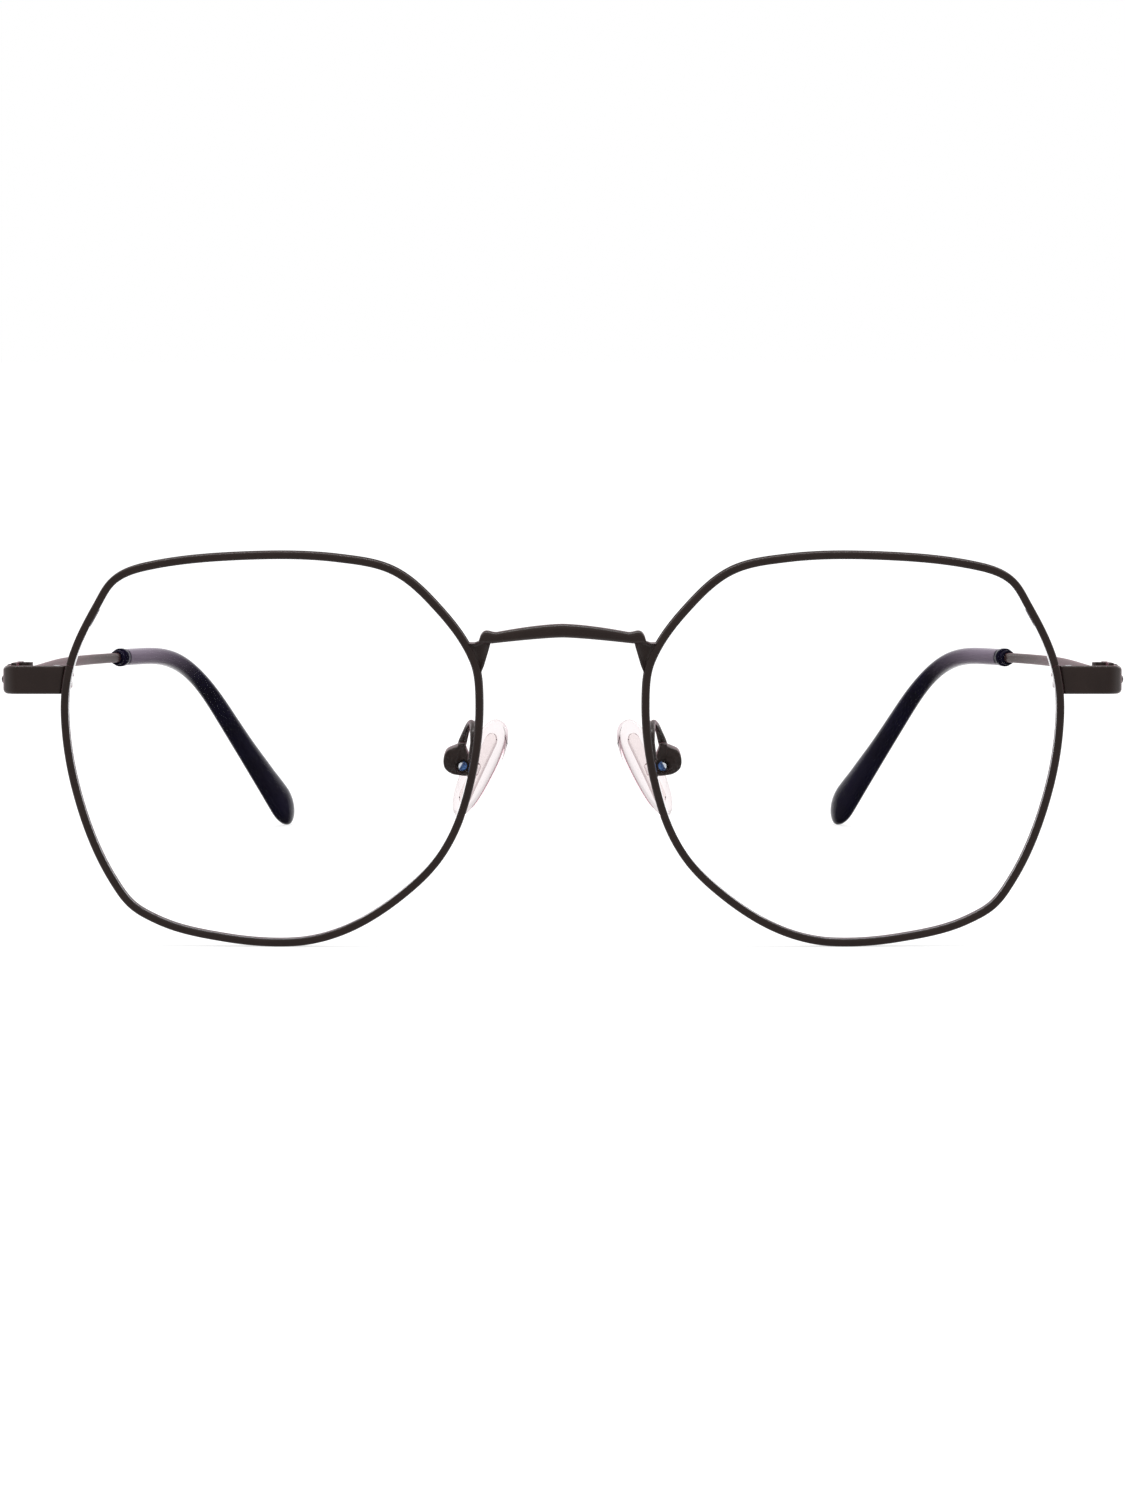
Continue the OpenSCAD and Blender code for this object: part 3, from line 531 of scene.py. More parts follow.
# a straight bar with the section, along Y from low to high
def straightBar(section, low, high):
    return loft([atDepth(section, y) for y in (low, high)])


# a copy of a node, joined up and in millimetres, whose flat faces are whole again
def nodeCopy(name):
    built = bmesh.new()
    built.from_mesh(frame["nodes"][name].data)
    built.transform(scale.inverted())
    bmesh.ops.remove_doubles(built, verts=built.verts, dist=0.001)
    bmesh.ops.dissolve_limit(built, angle_limit=math.radians(1), verts=built.verts, edges=built.edges)
    return meshFrom(built)


def addPiece(name, mesh, material, body, nodes, smoothBelow=40):
    mesh.name = name
    mesh.materials.clear()
    mesh.materials.append(material)
    mesh.shade_smooth()
    mesh.set_sharp_from_angle(angle=math.radians(smoothBelow))
    piece = addObject(name, mesh)
    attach(piece, body)
    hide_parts(*nodes)


# both sides' pieces from one mesh. Names of nodes, and of bodies other than the front, end in the side
def addPair(stem, mesh, place, material, body, node, smoothBelow=40):
    for side in sides:
        turn = Matrix.Diagonal((1 if side == "right" else -1, 1, 1, 1)) @ place
        own = mesh.copy()
        own.transform(turn)
        if turn.determinant() < 0:
            own.flip_normals()
        sideBody = body if body == "front" else f"{body}_{side}"
        addPiece(side + stem, own, material, sideBody, [f"{node}_{side}"], smoothBelow)
    bpy.data.meshes.remove(mesh)


# geometry node trees. Each takes geometry, numbers by their names and a material
def newTree(name, numbers):
    tree = bpy.data.node_groups.new(name, "GeometryNodeTree")
    kinds = {"Geometry": "Geometry", **{label: "Float" for label in numbers}, "Material": "Material"}
    for label, kind in kinds.items():
        tree.interface.new_socket(label, in_out="INPUT", socket_type="NodeSocket" + kind)
    tree.interface.new_socket("Geometry", in_out="OUTPUT", socket_type="NodeSocketGeometry")
    return tree, addNode(tree, "NodeGroupInput").outputs


def finishTree(tree, geometry, given):
    real = addNode(tree, "GeometryNodeRealizeInstances", {"Geometry": geometry})
    dressed = addNode(tree, "GeometryNodeSetMaterial", {"Geometry": real, "Material": given["Material"]})
    addNode(tree, "NodeGroupOutput", {"Geometry": dressed})


def grown(tree, start, values):
    def addNodes(holder):
        modifier = holder.modifiers.new("nodes", "NODES")
        modifier.node_group = tree
        for item in tree.interface.items_tree:
            if item.in_out == "INPUT" and item.name in values:
                modifier[item.identifier] = values[item.name]
    return applied(start, addNodes)


def lineMesh(points):
    mesh = bpy.data.meshes.new("line")
    mesh.from_pydata(points, [(k, k + 1) for k in range(len(points) - 1)], [])
    return mesh


# rims: a grooved wire swept round the lens from below the seam to above it
def makeRimTree():
    tree, given = newTree("rim wire", rim)
    path = addNode(tree, "GeometryNodeMeshToCurve", {"Mesh": given["Geometry"]})
    path = addNode(tree, "GeometryNodeSetCurveNormal", {"Curve": path}, mode="Z_UP")
    box = addNode(tree, "GeometryNodeCurvePrimitiveQuadrilateral", {
        "Width": given["width"], "Height": given["depth"],
    })
    rounded = addNode(tree, "GeometryNodeFilletCurve", {
        "Curve": box, "Count": 6, "Radius": given["rounding"],
    }, mode="POLY")
    even = addNode(tree, "GeometryNodeResampleCurve", {"Curve": rounded, "Count": 64}, mode="COUNT")
    spot = addNode(tree, "GeometryNodeInputPosition")
    parts = addNode(tree, "ShaderNodeSeparateXYZ", {0: spot}).outputs
    height = addNode(tree, "ShaderNodeMath", {0: parts["Y"]}, operation="ABSOLUTE")
    wall = addNode(tree, "ShaderNodeMapRange", {
        "Value": height, "From Min": given["mouth"], "From Max": given["floor"],
        "To Max": given["groove"],
    })
    # the profile's own left side faces the lens
    inner = addNode(tree, "ShaderNodeMath", {0: parts["X"], 1: 0.0}, operation="LESS_THAN")
    cut = addNode(tree, "ShaderNodeMath", {0: wall, 1: inner}, operation="MULTIPLY")
    offset = addNode(tree, "ShaderNodeCombineXYZ", {"X": cut})
    grooved = addNode(tree, "GeometryNodeSetPosition", {"Geometry": even, "Offset": offset})
    wire = addNode(tree, "GeometryNodeCurveToMesh", {
        "Curve": path, "Profile Curve": grooved, "Fill Caps": True,
    })
    finishTree(tree, wire, given)
    return tree


# the endpiece's height at the rim. The rim's seam is a little below the endpiece's top
endUp = hinge["up"] + hinge["length"] * math.sin(leanTurn.to_euler().x + math.radians(hinge["slopeAbout"]))
seam = {"below": 0.15, "gap": 0.1, "clear": 0.3}
seamUp = endUp + endpiece["height"] / 2 - seam["below"]


def rimPath():
    spot = Vector((edgeAt(edge, seamUp, -1), seamUp))
    start = next(i for i, p in enumerate(edge) if p.x < 0 and p.y < seamUp)
    fromSeam = edge[start:] + edge[:start]
    inner = [p for p in fromSeam if (p - spot).length > seam["clear"]]
    low, high = seamUp - seam["gap"] / 2, seamUp + seam["gap"] / 2
    ends = [Vector((edgeAt(edge, z, -1), z)) for z in (low, high)]
    return [ends[0], *inner, ends[1]]


# the path lies flat for the sweep, with the lens's depth upwards
rimLine = lineMesh([(p.x, -p.y, dome(p.x, p.y)) for p in rimPath()])
rimMesh = grown(makeRimTree(), rimLine, {**rim, "Material": lacquer})
addPair("Rim", rimMesh, eyePlace @ turned(-90, "X"), lacquer, "front", "rim")


# lenses: a curved plate with a bevelled edge in the rim's groove
def lensRing(distance, share, depth):
    points = shifted(edge, distance)[::2]
    return [Vector((p.x * share, dome(p.x * share, p.y * share) + depth, p.y * share)) for p in points]


def makeLens():
    half, thin = lens["thickness"] / 2, lens["edge"] / 2
    inset = -rim["groove"] - lens["clear"]
    shares = spread(0.02, 1, 12)
    front = [lensRing(inset, share, -half) for share in shares]
    back = [lensRing(inset, share, half) for share in reversed(shares)]
    rimward = [
        lensRing(inset + lens["bevel"], 1, -thin), lensRing(-lens["clear"], 1, -thin),
        lensRing(-lens["clear"], 1, thin), lensRing(inset + lens["bevel"], 1, thin),
    ]
    return loft(front + rimward + back)


addPair("Lens", makeLens(), eyePlace, clear["lens"], "front", "lens", 30)
print("rims and lenses made")

# bridge: a bar that bows forward, with a raised rounded shoulder and a gusset down each rim
bridge = {
    "up": 15.23, "height": 1.69, "endHeight": 1.3, "depth": 1.5, "drop": 1.02, "arch": 1.5, "bow": 1,
    "gussetLength": 3.7, "gussetWidth": 2.85, "shoulder": 0.8, "shoulderIn": 1.4, "raise": 0.3,
    "riseLength": 0.8, "arc": 0.94, "step": 0.45, "stepUp": 0.1, "rounding": 0.5, "roundingShare": 0.42,
    "overlap": 0.2, "recess": 0.3, "dish": 0.42, "dishAcross": 0.55, "dishDown": 0.22, "thinner": 0.1,
    "weld": 0.12,
}
footUp = bridge["up"] - bridge["drop"] - bridge["endHeight"] / 2
bridgeEnd = nasalEdge(footUp)
footX = edgeAt(edge, footUp, 1)
bridgeBack = inFront(footX, dome(footX, footUp), 0).y
bridgeRadius = (bridgeEnd ** 2 + bridge["bow"] ** 2) / (2 * bridge["bow"])
gussetX = bridgeEnd - bridge["gussetWidth"]
riseX = gussetX - bridge["riseLength"]
footTop = footUp - bridge["overlap"]


def barLine(x):
    return bridge["up"] - bridge["drop"] * (abs(x) / gussetX) ** bridge["arch"]


def barHalf(x):
    share = min(1, abs(x) / gussetX) ** 2
    return mix(bridge["height"], bridge["endHeight"], share) / 2


def barFront(x):
    centre = bridgeBack - bridge["bow"] + bridgeRadius
    return centre - math.sqrt((bridgeRadius + bridge["depth"] / 2) ** 2 - x * x)


# height of the bar's upper edge: the bow, the shoulder's arc and the step down to the rim
def barTop(x):
    x = abs(x)
    radius = bridge["shoulder"]
    shoulderX = bridgeEnd - bridge["shoulderIn"] - radius
    shoulderUp = barLine(gussetX) + barHalf(gussetX) + bridge["raise"] - radius
    stepX = shoulderX + radius * bridge["arc"]
    if x < shoulderX:
        return mix(barLine(x) + barHalf(x), shoulderUp + radius, blend((x - riseX) / (shoulderX - riseX)))
    if x < stepX:
        return shoulderUp + math.sqrt(radius ** 2 - (x - shoulderX) ** 2)
    high = shoulderUp + math.sqrt(radius ** 2 - (stepX - shoulderX) ** 2)
    return mix(high, footTop + bridge["stepUp"], blend((x - stepX) / bridge["step"]))


def makeBar():
    reach = bridgeEnd + bridge["weld"]
    # the rings stand closer over the shoulder
    half = spread(0, riseX - 0.2, 18) + spread(riseX, reach, 26)
    rings = []
    for x in [-x for x in reversed(half[1:])] + half:
        low, high = barLine(min(abs(x), gussetX)) - barHalf(x), barTop(x)
        front = barFront(x)
        rounding = min(bridge["rounding"], (high - low) * bridge["roundingShare"])
        section = roundedSection(front, front + bridge["depth"], low, high, [rounding] * 4)
        rings.append([Vector((x, q.x, q.y)) for q in section])
    return loft(rings)


# the gusset: a web under the bar, set back from the bar's front, with a dished face
def makeGusset():
    low = footTop - bridge["gussetLength"]
    heights = spread(footTop, low, 9)
    outline = [Vector((-nasalEdge(z) - bridge["weld"], z)) for z in heights]
    for t in (0.25, 0.5, 0.75):
        outline.append(Vector((-mix(nasalEdge(low), gussetX, t), mix(low, barLine(gussetX), t))))
    outline.append(Vector((-gussetX, barLine(gussetX) + bridge["overlap"])))
    centre = Vector((-mix(gussetX, bridgeEnd, bridge["dishAcross"]), mix(footUp, low, bridge["dishDown"])))

    def ring(share, depth):
        points = [mix(centre, p, share) for p in outline]
        return [Vector((p.x, barFront(p.x) + depth, p.y)) for p in points]

    # from the middle of the back, round the edge, and down into the dish
    back = bridge["depth"] - bridge["thinner"]
    front, dish = bridge["recess"], bridge["dish"]
    return loft([ring(share, depth) for share, depth in (
        (0.1, back), (0.9, back), (1, back - 0.12), (1, front + 0.08), (0.96, front), (0.88, front + 0.03),
        (0.7, front + 0.6 * dish), (0.45, front + 0.9 * dish), (0.12, front + dish),
    )])


def makeBridge():
    bar, gusset = makeBar(), makeGusset()
    other = gusset.copy()
    other.transform(Matrix.Diagonal((-1, 1, 1, 1)))
    other.flip_normals()
    built = bmesh.new()
    for mesh in (bar, gusset, other):
        built.from_mesh(mesh)
    built.transform(frontPlace)
    return meshFrom(built)


addPiece("bridgeBar", makeBridge(), lacquer, "front", ["bridge"])


# endpieces: a strip that runs out from the rim, bends back, and ends at the hinge
def makeEndpiece():
    top = endpiece["height"] / 2
    radius = endpiece["bend"]
    frontAt = endpiece["recess"] - hinge["length"]
    plate = endpiece["front"] - endpiece["recess"]
    centre = Vector((sideOut - radius, frontAt + radius))
    inner = -foldSpot.x / mm

    # one ring across the strip, from its outer face inwards by its thickness
    def ring(outer, way, thickness, corner):
        small = endpiece["edge"] / 2
        radii = [corner, small, small, corner]
        section = roundedSection(-thickness, 0, -top, top, radii, endpiece["corners"])
        return [
            Vector((outer.x + way.x * q.x, outer.y + way.y * q.x, q.y - endpiece["sink"])) for q in section
        ]

    rings = []
    # the rounded end leaves a narrow groove beside the rim
    for share, dip in endpiece["dips"] + [(t, 0) for t in spread(0.1, 1, 8)]:
        across = ring(Vector((0, frontAt + dip)), Vector((0, -1)), plate - dip, endpiece["edge"])
        for p in across:
            p.x = mix(templeEdge(endUp + p.z) - inner, centre.x - endpiece["ringGap"], share)
        rings.append(across)
    for share in spread(0, 1, 14):
        way = along(-90 + 90 * share)
        thickness = mix(plate, endpiece["side"], blend(share * 2))
        corner = mix(endpiece["edge"], endpiece["corner"], blend(share))
        rings.append(ring(centre + way * radius, way, thickness, corner))
    for y in spread(centre.y + endpiece["ringGap"], -hinge["butt"], 6):
        rings.append(ring(Vector((sideOut, y)), Vector((1, 0)), endpiece["side"], endpiece["corner"]))
    return loft(rings)


addPair("Endpiece", makeEndpiece(), hingePlace, lacquer, "front", "endpiece")

# small soldered and machined metal parts keep their shape, with broken edges
for stem, node, width, body in (
    ("ClosingLug", "closing_lug", 0.16, "front"), ("ClosingBlock", "closing_block", 0.16, "front"),
    ("FrontLeaf", "hinge_front_leaf", 0.06, "front"), ("TempleLeaf", "hinge_temple_leaf", 0.06, "temple"),
):
    part = bevelled(nodeCopy(node + "_right"), width)
    addPair(stem, part, scale, lacquer, body, node)
print("bridge, endpieces and hinges made")


# screws: one tree draws a slotted screw and puts it on each point, along the point's axis
def makeScrewTree():
    tree, given = newTree("slotted screws", (
        "shankRadius", "shankLength", "headRadius", "drumHeight", "crownRadius", "crownHeight",
        "slotWidth", "slotDepth", "lock",
    ))
    shank = addNode(tree, "GeometryNodeMeshCylinder", {
        "Vertices": 32, "Radius": given["shankRadius"], "Depth": given["shankLength"],
    })
    drum = addNode(tree, "GeometryNodeMeshCylinder", {
        "Vertices": 48, "Radius": given["headRadius"], "Depth": given["drumHeight"],
    })
    crown = addNode(tree, "GeometryNodeMeshCone", {
        "Vertices": 48, "Radius Top": given["crownRadius"], "Radius Bottom": given["headRadius"],
        "Depth": given["crownHeight"],
    })
    # each part moves up by a share of a height. The shank reaches a little way into the head
    whole = addNode(tree, "GeometryNodeMeshBoolean", operation="UNION", solver="EXACT")
    moves = ((shank, "shankLength", -0.48), (drum, "drumHeight", 0.5), (crown, "drumHeight", 1.0))
    for part, height, share in moves:
        up = addNode(tree, "ShaderNodeMath", {0: given[height], 1: share}, operation="MULTIPLY")
        spot = addNode(tree, "ShaderNodeCombineXYZ", {"Z": up})
        moved = addNode(tree, "GeometryNodeTransform", {"Geometry": part, "Translation": spot})
        tree.links.new(moved.outputs[0], whole.inputs["Mesh 2"])
    # the slot's cutter is longer than the head is wide, and half of it stands above the head
    slotLength = addNode(tree, "ShaderNodeMath", {0: given["headRadius"], 1: 3.0}, operation="MULTIPLY")
    slotHeight = addNode(tree, "ShaderNodeMath", {0: given["slotDepth"], 1: 2.0}, operation="MULTIPLY")
    slotSize = addNode(tree, "ShaderNodeCombineXYZ", {
        "X": given["slotWidth"], "Y": slotLength, "Z": slotHeight,
    })
    cutter = addNode(tree, "GeometryNodeMeshCube", {"Size": slotSize})
    headHeight = addNode(tree, "ShaderNodeMath", {
        0: given["drumHeight"], 1: given["crownHeight"],
    }, operation="ADD")
    slotSpot = addNode(tree, "ShaderNodeCombineXYZ", {"Z": headHeight})
    cutter = addNode(tree, "GeometryNodeTransform", {"Geometry": cutter, "Translation": slotSpot})
    cut = addNode(tree, "GeometryNodeMeshBoolean", {
        "Mesh 1": whole, "Mesh 2": cutter,
    }, operation="DIFFERENCE", solver="EXACT")
    # the steel's rings and its thread lock follow the place on the screw
    spot = addNode(tree, "GeometryNodeInputPosition")
    cut = addNode(tree, "GeometryNodeStoreNamedAttribute", {
        "Geometry": cut, "Name": "onScrew", "Value": spot,
    }, data_type="FLOAT_VECTOR", domain="POINT")
    cut = addNode(tree, "GeometryNodeStoreNamedAttribute", {
        "Geometry": cut, "Name": "lock", "Value": given["lock"],
    })
    axis = addNode(tree, "GeometryNodeInputNamedAttribute", {"Name": "axis"}, data_type="FLOAT_VECTOR")
    spin = addNode(tree, "GeometryNodeInputNamedAttribute", {"Name": "spin"})
    upright = addNode(tree, "FunctionNodeAlignRotationToVector", {"Vector": axis}, axis="Z")
    twist = addNode(tree, "FunctionNodeAxisAngleToRotation", {"Axis": (0, 0, 1), "Angle": spin})
    facing = addNode(tree, "FunctionNodeRotateRotation", {
        "Rotation": upright, "Rotate By": twist,
    }, rotation_space="LOCAL")
    placed = addNode(tree, "GeometryNodeInstanceOnPoints", {
        "Points": given["Geometry"], "Instance": cut, "Rotation": facing,
    })
    finishTree(tree, placed, given)
    return tree


screwTree = makeScrewTree()


# every head is a drum under a narrower crown: shares of its height, and of its diameter
headShares = {"drumHeight": 0.6, "crownHeight": 0.4, "crownRadius": 0.38}


# a pair of screws, whose axis runs through a spot on the wearer's right. A screw's seat is how far up
# the axis the underside of its head is
def addScrews(name, spot, axis, screw, node):
    spots, axes, spins = [], [], []
    under = spot + axis * screw["seat"] * mm
    for way in (1, -1):
        spots.append(Vector((under.x * way, under.y, under.z)) / mm)
        axes += [axis.x * way, axis.y, axis.z]
        spins.append(math.radians(90 - way * (90 - screw["spin"])))
    points = bpy.data.meshes.new(name)
    points.from_pydata(spots, [], [])
    points.attributes.new("axis", "FLOAT_VECTOR", "POINT").data.foreach_set("vector", axes)
    points.attributes.new("spin", "FLOAT", "POINT").data.foreach_set("value", spins)
    mesh = grown(screwTree, points, {
        **screw, "shankRadius": screw["shank"] / 2, "headRadius": screw["head"] / 2,
        "drumHeight": screw["height"] * headShares["drumHeight"],
        "crownHeight": screw["height"] * headShares["crownHeight"],
        "crownRadius": screw["head"] * headShares["crownRadius"], "Material": steel,
    })
    mesh.transform(scale)
    addPiece(name, mesh, steel, "front", [f"{node}_{side}" for side in sides], 25)


padScrew = {
    "shank": 0.7, "shankLength": 2.5, "head": 1.22, "height": 0.42, "slotWidth": 0.22, "slotDepth": 0.16,
    "spin": -28, "lock": 1.0, "seat": 1.22,
}
addScrews("padScrews", padSpot, -padAxis, padScrew, "pad_screw")
hingeScrew = {
    "shank": 1.0, "shankLength": 2.9, "head": 1.46, "height": 0.36, "slotWidth": 0.26, "slotDepth": 0.18,
    "spin": 20, "lock": 0.0, "seat": endpiece["height"] / 2 - 0.27,
}
addScrews("hingeScrews", foldSpot, -foldAxis, hingeScrew, "hinge_screw")

# the lock screw's own node gives its length and place
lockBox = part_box("rim_lock_screw_right")
lockAxis = (leanTurn @ Vector((0, 0, 1))).normalized()
lockLength = (lockBox[1].z - lockBox[0].z) / lockAxis.z / mm
lockHead = 0.45
lockScrew = {
    "shank": 1.0, "shankLength": lockLength - 2 * lockHead, "head": 1.5, "height": lockHead,
    "slotWidth": 0.26, "slotDepth": 0.2, "spin": 60, "lock": 0.0, "seat": lockLength / 2 - lockHead,
}
addScrews("rimLockScrews", (lockBox[0] + lockBox[1]) / 2, lockAxis, lockScrew, "rim_lock_screw")

# rivets: a domed head on the endpiece's side, with its shank
rivet = {"radius": 0.65, "dome": 0.35, "shank": 0.4, "reach": 1.5, "along": -2.5, "count": 28}


def makeRivet():
    ball = (rivet["radius"] ** 2 + rivet["dome"] ** 2) / (2 * rivet["dome"])
    profile = [(rivet["shank"], -rivet["reach"]), (rivet["shank"], 0), (rivet["radius"], 0.01)]
    for share in spread(0.12, 0.97, 7):
        height = rivet["dome"] * share
        profile.append((math.sqrt(ball ** 2 - (ball - rivet["dome"] + height) ** 2), height))
    rings = []
    for radius, height in profile:
        circle = [radius * along(360 * k / rivet["count"]) for k in range(rivet["count"])]
        rings.append([
            Vector((sideOut + height, p.x + rivet["along"], p.y - endpiece["sink"])) for p in circle
        ])
    return loft(rings)


addPair("Rivet", makeRivet(), hingePlace, lacquer, "front", "side_rivet")
print("screws and rivets made")

# pad arms: a wire soldered to the rim's back, slimmer over its loop, that flares into the box
arm = {
    "foot": 2.2, "footIn": 0.5, "lowUp": 1.7, "loop": 3.3, "headRight": -0.04, "headUp": 2.6,
    "riseBack": 0.5, "riseLess": 0.4, "fallPull": 1.3, "fallLean": 0.3,
    "wire": {
        "radius": 0.45, "slim": 0.8, "slimAt": 0.62, "slimReach": 0.36, "flare": 1.25, "flareFrom": 0.84,
    },
}


def makeArmTree():
    tree, given = newTree("pad arm wire", arm["wire"])
    path = addNode(tree, "GeometryNodeMeshToCurve", {"Mesh": given["Geometry"]})
    factor = addNode(tree, "GeometryNodeSplineParameter").outputs["Factor"]
    away = addNode(tree, "ShaderNodeMath", {0: factor, 1: given["slimAt"]}, operation="SUBTRACT")
    away = addNode(tree, "ShaderNodeMath", {0: away}, operation="ABSOLUTE")
    slimming = addNode(tree, "ShaderNodeMapRange", {
        "Value": away, "From Max": given["slimReach"], "To Min": given["slim"],
    }, interpolation_type="SMOOTHSTEP")
    flaring = addNode(tree, "ShaderNodeMapRange", {
        "Value": factor, "From Min": given["flareFrom"], "To Min": 1.0, "To Max": given["flare"],
    }, interpolation_type="SMOOTHSTEP")
    size = addNode(tree, "ShaderNodeMath", {0: slimming, 1: flaring}, operation="MULTIPLY")
    circle = addNode(tree, "GeometryNodeCurvePrimitiveCircle", {
        "Resolution": 20, "Radius": given["radius"],
    })
    wire = addNode(tree, "GeometryNodeCurveToMesh", {
        "Curve": path, "Profile Curve": circle, "Scale": size, "Fill Caps": True,
    })
    finishTree(tree, wire, given)
    return tree


def armPath():
    back = rim["depth"] / 2 + arm["wire"]["radius"] + hinge["seat"]

    def foot(z):
        x = edgeAt(edge, z, 1)
        return inFront(x - arm["footIn"], dome(x, z) + back, z)

    low = pad["up"] + arm["lowUp"]
    start = foot(low + arm["foot"])
    head = Vector((padSpot.x / mm + arm["headRight"], pad["back"], pad["up"] + arm["headUp"]))
    rise = start + Vector((0, arm["riseBack"], arm["loop"] - arm["riseLess"]))
    fall = head + arm["fallPull"] * arm["loop"] * Vector((arm["fallLean"], 0, 1)).normalized()
    loop = [bezier(start, rise, fall, head, t) for t in spread(0, 1, 28)]
    return [foot(low), foot(low + arm["foot"] / 2)] + loop


armMesh = grown(makeArmTree(), lineMesh(armPath()), {**arm["wire"], "Material": lacquer})
addPair("PadArm", armMesh, frontPlace, lacquer, "front", "pad_arm")

# pad boxes: a boot-shaped block with a crowned front, slotted for the core's lug
padBox = {
    "depth": 2.9, "rounding": 0.28, "crown": 0.32, "steps": 5, "centre": (-0.75, 0.6),
    "sink": 1.8, "sinkTo": 1.2, "slot": 1.7, "slotFrom": -1.3, "slotUp": 1.5, "slotOpen": 4,
    # x towards the nose and z up from the screw
    "outline": [
        (0.6, -1.3), (0.95, -0.85), (1, 0.2), (0.8, 1.3), (0.48, 2.2), (0.36, 2.85), (-0.42, 2.85),
        (-0.62, 2.5), (-1.1, 2.3), (-1.96, 1.86), (-2.34, 1.06), (-2.38, 0.22), (-2.12, -0.48),
        (-1.35, -1.05), (-0.38, -1.25),
    ],
}


def makePadBox():
    outline = loopThrough(padBox["outline"], padBox["steps"])
    half, rounding = padBox["depth"] / 2, padBox["rounding"]
    rings = []
    for angle in spread(0, 90, 5):
        inset = rounding * (1 - math.sin(math.radians(angle)))
        depth = half - rounding * (1 - math.cos(math.radians(angle)))
        rings.append(atDepth(shifted(outline, -inset), depth))
    rings += [[Vector((p.x, -p.y, p.z)) for p in ring] for ring in reversed(rings)]
    flat = shifted(outline, -rounding)
    centre = Vector(padBox["centre"])
    for share in (0.85, 0.65, 0.4, 0.1):
        depth = -half - padBox["crown"] * (1 - share ** 2)
        rings.append(atDepth([mix(centre, p, share) for p in flat], depth))
    sink = straightBar(disc(padBox["sink"], 48), -2 * half, -padBox["sinkTo"])
    beyond = padBox["slotOpen"]
    slotSection = roundedSection(padBox["slotFrom"], beyond, -beyond, padBox["slotUp"], [0.1] * 4)
    slot = straightBar(slotSection, -padBox["slot"] / 2, padBox["slot"] / 2)
    slot.transform(padTurn)
    return combined(combined(loft(rings), sink, "DIFFERENCE"), slot, "DIFFERENCE")


addPair("PadBox", makePadBox(), boxPlace, lacquer, "front", "pad_box", 50)


# nose pads: a soft crowned pad, wider at the top
def makePad():
    rings = []
    for angle in spread(-84, 84, 31):
        q = math.sin(math.radians(angle))
        full = (1 - abs(q) ** pad["outlinePower"]) ** (1 / pad["outlinePower"])
        # it keeps its thickness until close to its ends
        thick = (1 - abs(q) ** 4) ** (1 / 2.6)
        width = pad["width"] * full * (1 + pad["taper"] * q)
        section = superOval(pad["thickness"] * thick, width, pad["sectionPower"], 32)
        rings.append([Vector((p.x, p.y, q * pad["height"] / 2)) for p in section])
    return loft(rings)


padPlace = boxPlace @ padTurn
addPair("NosePad", makePad(), padPlace @ platePlace, clear["silicone"], "pad", "nose_pad")

# pad cores: a long thin plate in the pad, with a neck to a round lug on the screw
padCore = {
    "width": 2.3, "height": 9.8, "plate": 0.5, "plateAt": -0.1, "bevel": 0.1, "lug": 1.0, "lugWidth": 1.6,
    "bore": 0.8, "neck": 0.7, "neckRounding": 0.2, "neckShare": 0.8, "neckBack": 0.4,
}


def makePadCore():
    half, high = padCore["width"] / 2, padCore["height"] / 2 - padCore["width"] / 2
    stadium = [half * along(180 * k / 12) + Vector((0, high)) for k in range(13)]
    stadium += [half * along(180 + 180 * k / 12) - Vector((0, high)) for k in range(13)]
    bevel = padCore["bevel"]
    low = padCore["plateAt"] - padCore["plate"] / 2
    top = padCore["plateAt"] + padCore["plate"] / 2
    rings = []
    for inset, x in ((bevel, low), (0, low + bevel), (0, top - bevel), (bevel, top)):
        rings.append([Vector((x, p.x, p.y)) for p in shifted(stadium, -inset)])
    plate = loft(rings)
    plate.transform(platePlace)
    thick = padCore["lugWidth"] / 2
    neckRadii = [padCore["neckRounding"]] * 4
    neckSection = roundedSection(0, pad["plateOut"], -padCore["neck"], padCore["neck"], neckRadii)
    neckHalf = thick * padCore["neckShare"]
    neck = bevelled(straightBar(neckSection, -neckHalf, neckHalf + padCore["neckBack"]), bevel, 2)
    lug = straightBar(disc(2 * padCore["lug"], 40), -thick, thick)
    bore = straightBar(disc(padCore["bore"], 24), -2 * thick, 2 * thick)
    return combined(combined(combined(plate, neck, "UNION"), lug, "UNION"), bore, "DIFFERENCE")


addPair("PadCore", makePadCore(), padPlace, clear["core"], "pad", "pad_core")
print("nose pads made")

# temples: the centre line turns inward, rises a little, and drops behind the ear
temple = {
    "length": 138, "plateHeight": 3.3, "plateWidth": 1, "wireHeight": 1.35, "wireWidth": 1.25,
    "rise": 0.6, "riseAt": 10, "riseLength": 36, "bare": 69, "straight": 5, "taper": 13,
    "bendAt": 76.3, "bendLength": 31.4, "drop": 35.8, "inwardFront": 4, "inwardBack": 20.3,
    "inwardFrontLength": 10, "inwardAt": 42.8, "inwardLength": 32.5, "core": 1.2, "coreLength": 122,
    "plateRounding": 0.3, "rounding": 0.42,
}
tip = {
    "width": 2.43, "lift": 0.31, "power": 2.25, "end": 5.84, "mouthHeight": 2.34,
    "ring": 2.05, "collar": 2.54, "bore": 1.46, "boreDepth": 4, "mouthIn": 0.06, "ringEnd": 1,
    "collarEnd": 2.1, "bodyFrom": 2.25, "count": 40,
    # distance along the temple and height there
    "heights": [
        (72, 2.34), (87, 2.36), (97, 2.25), (107, 2.84), (117, 3.5), (127, 4.6), (133, 5.4), (138, 5.75),
    ],
}


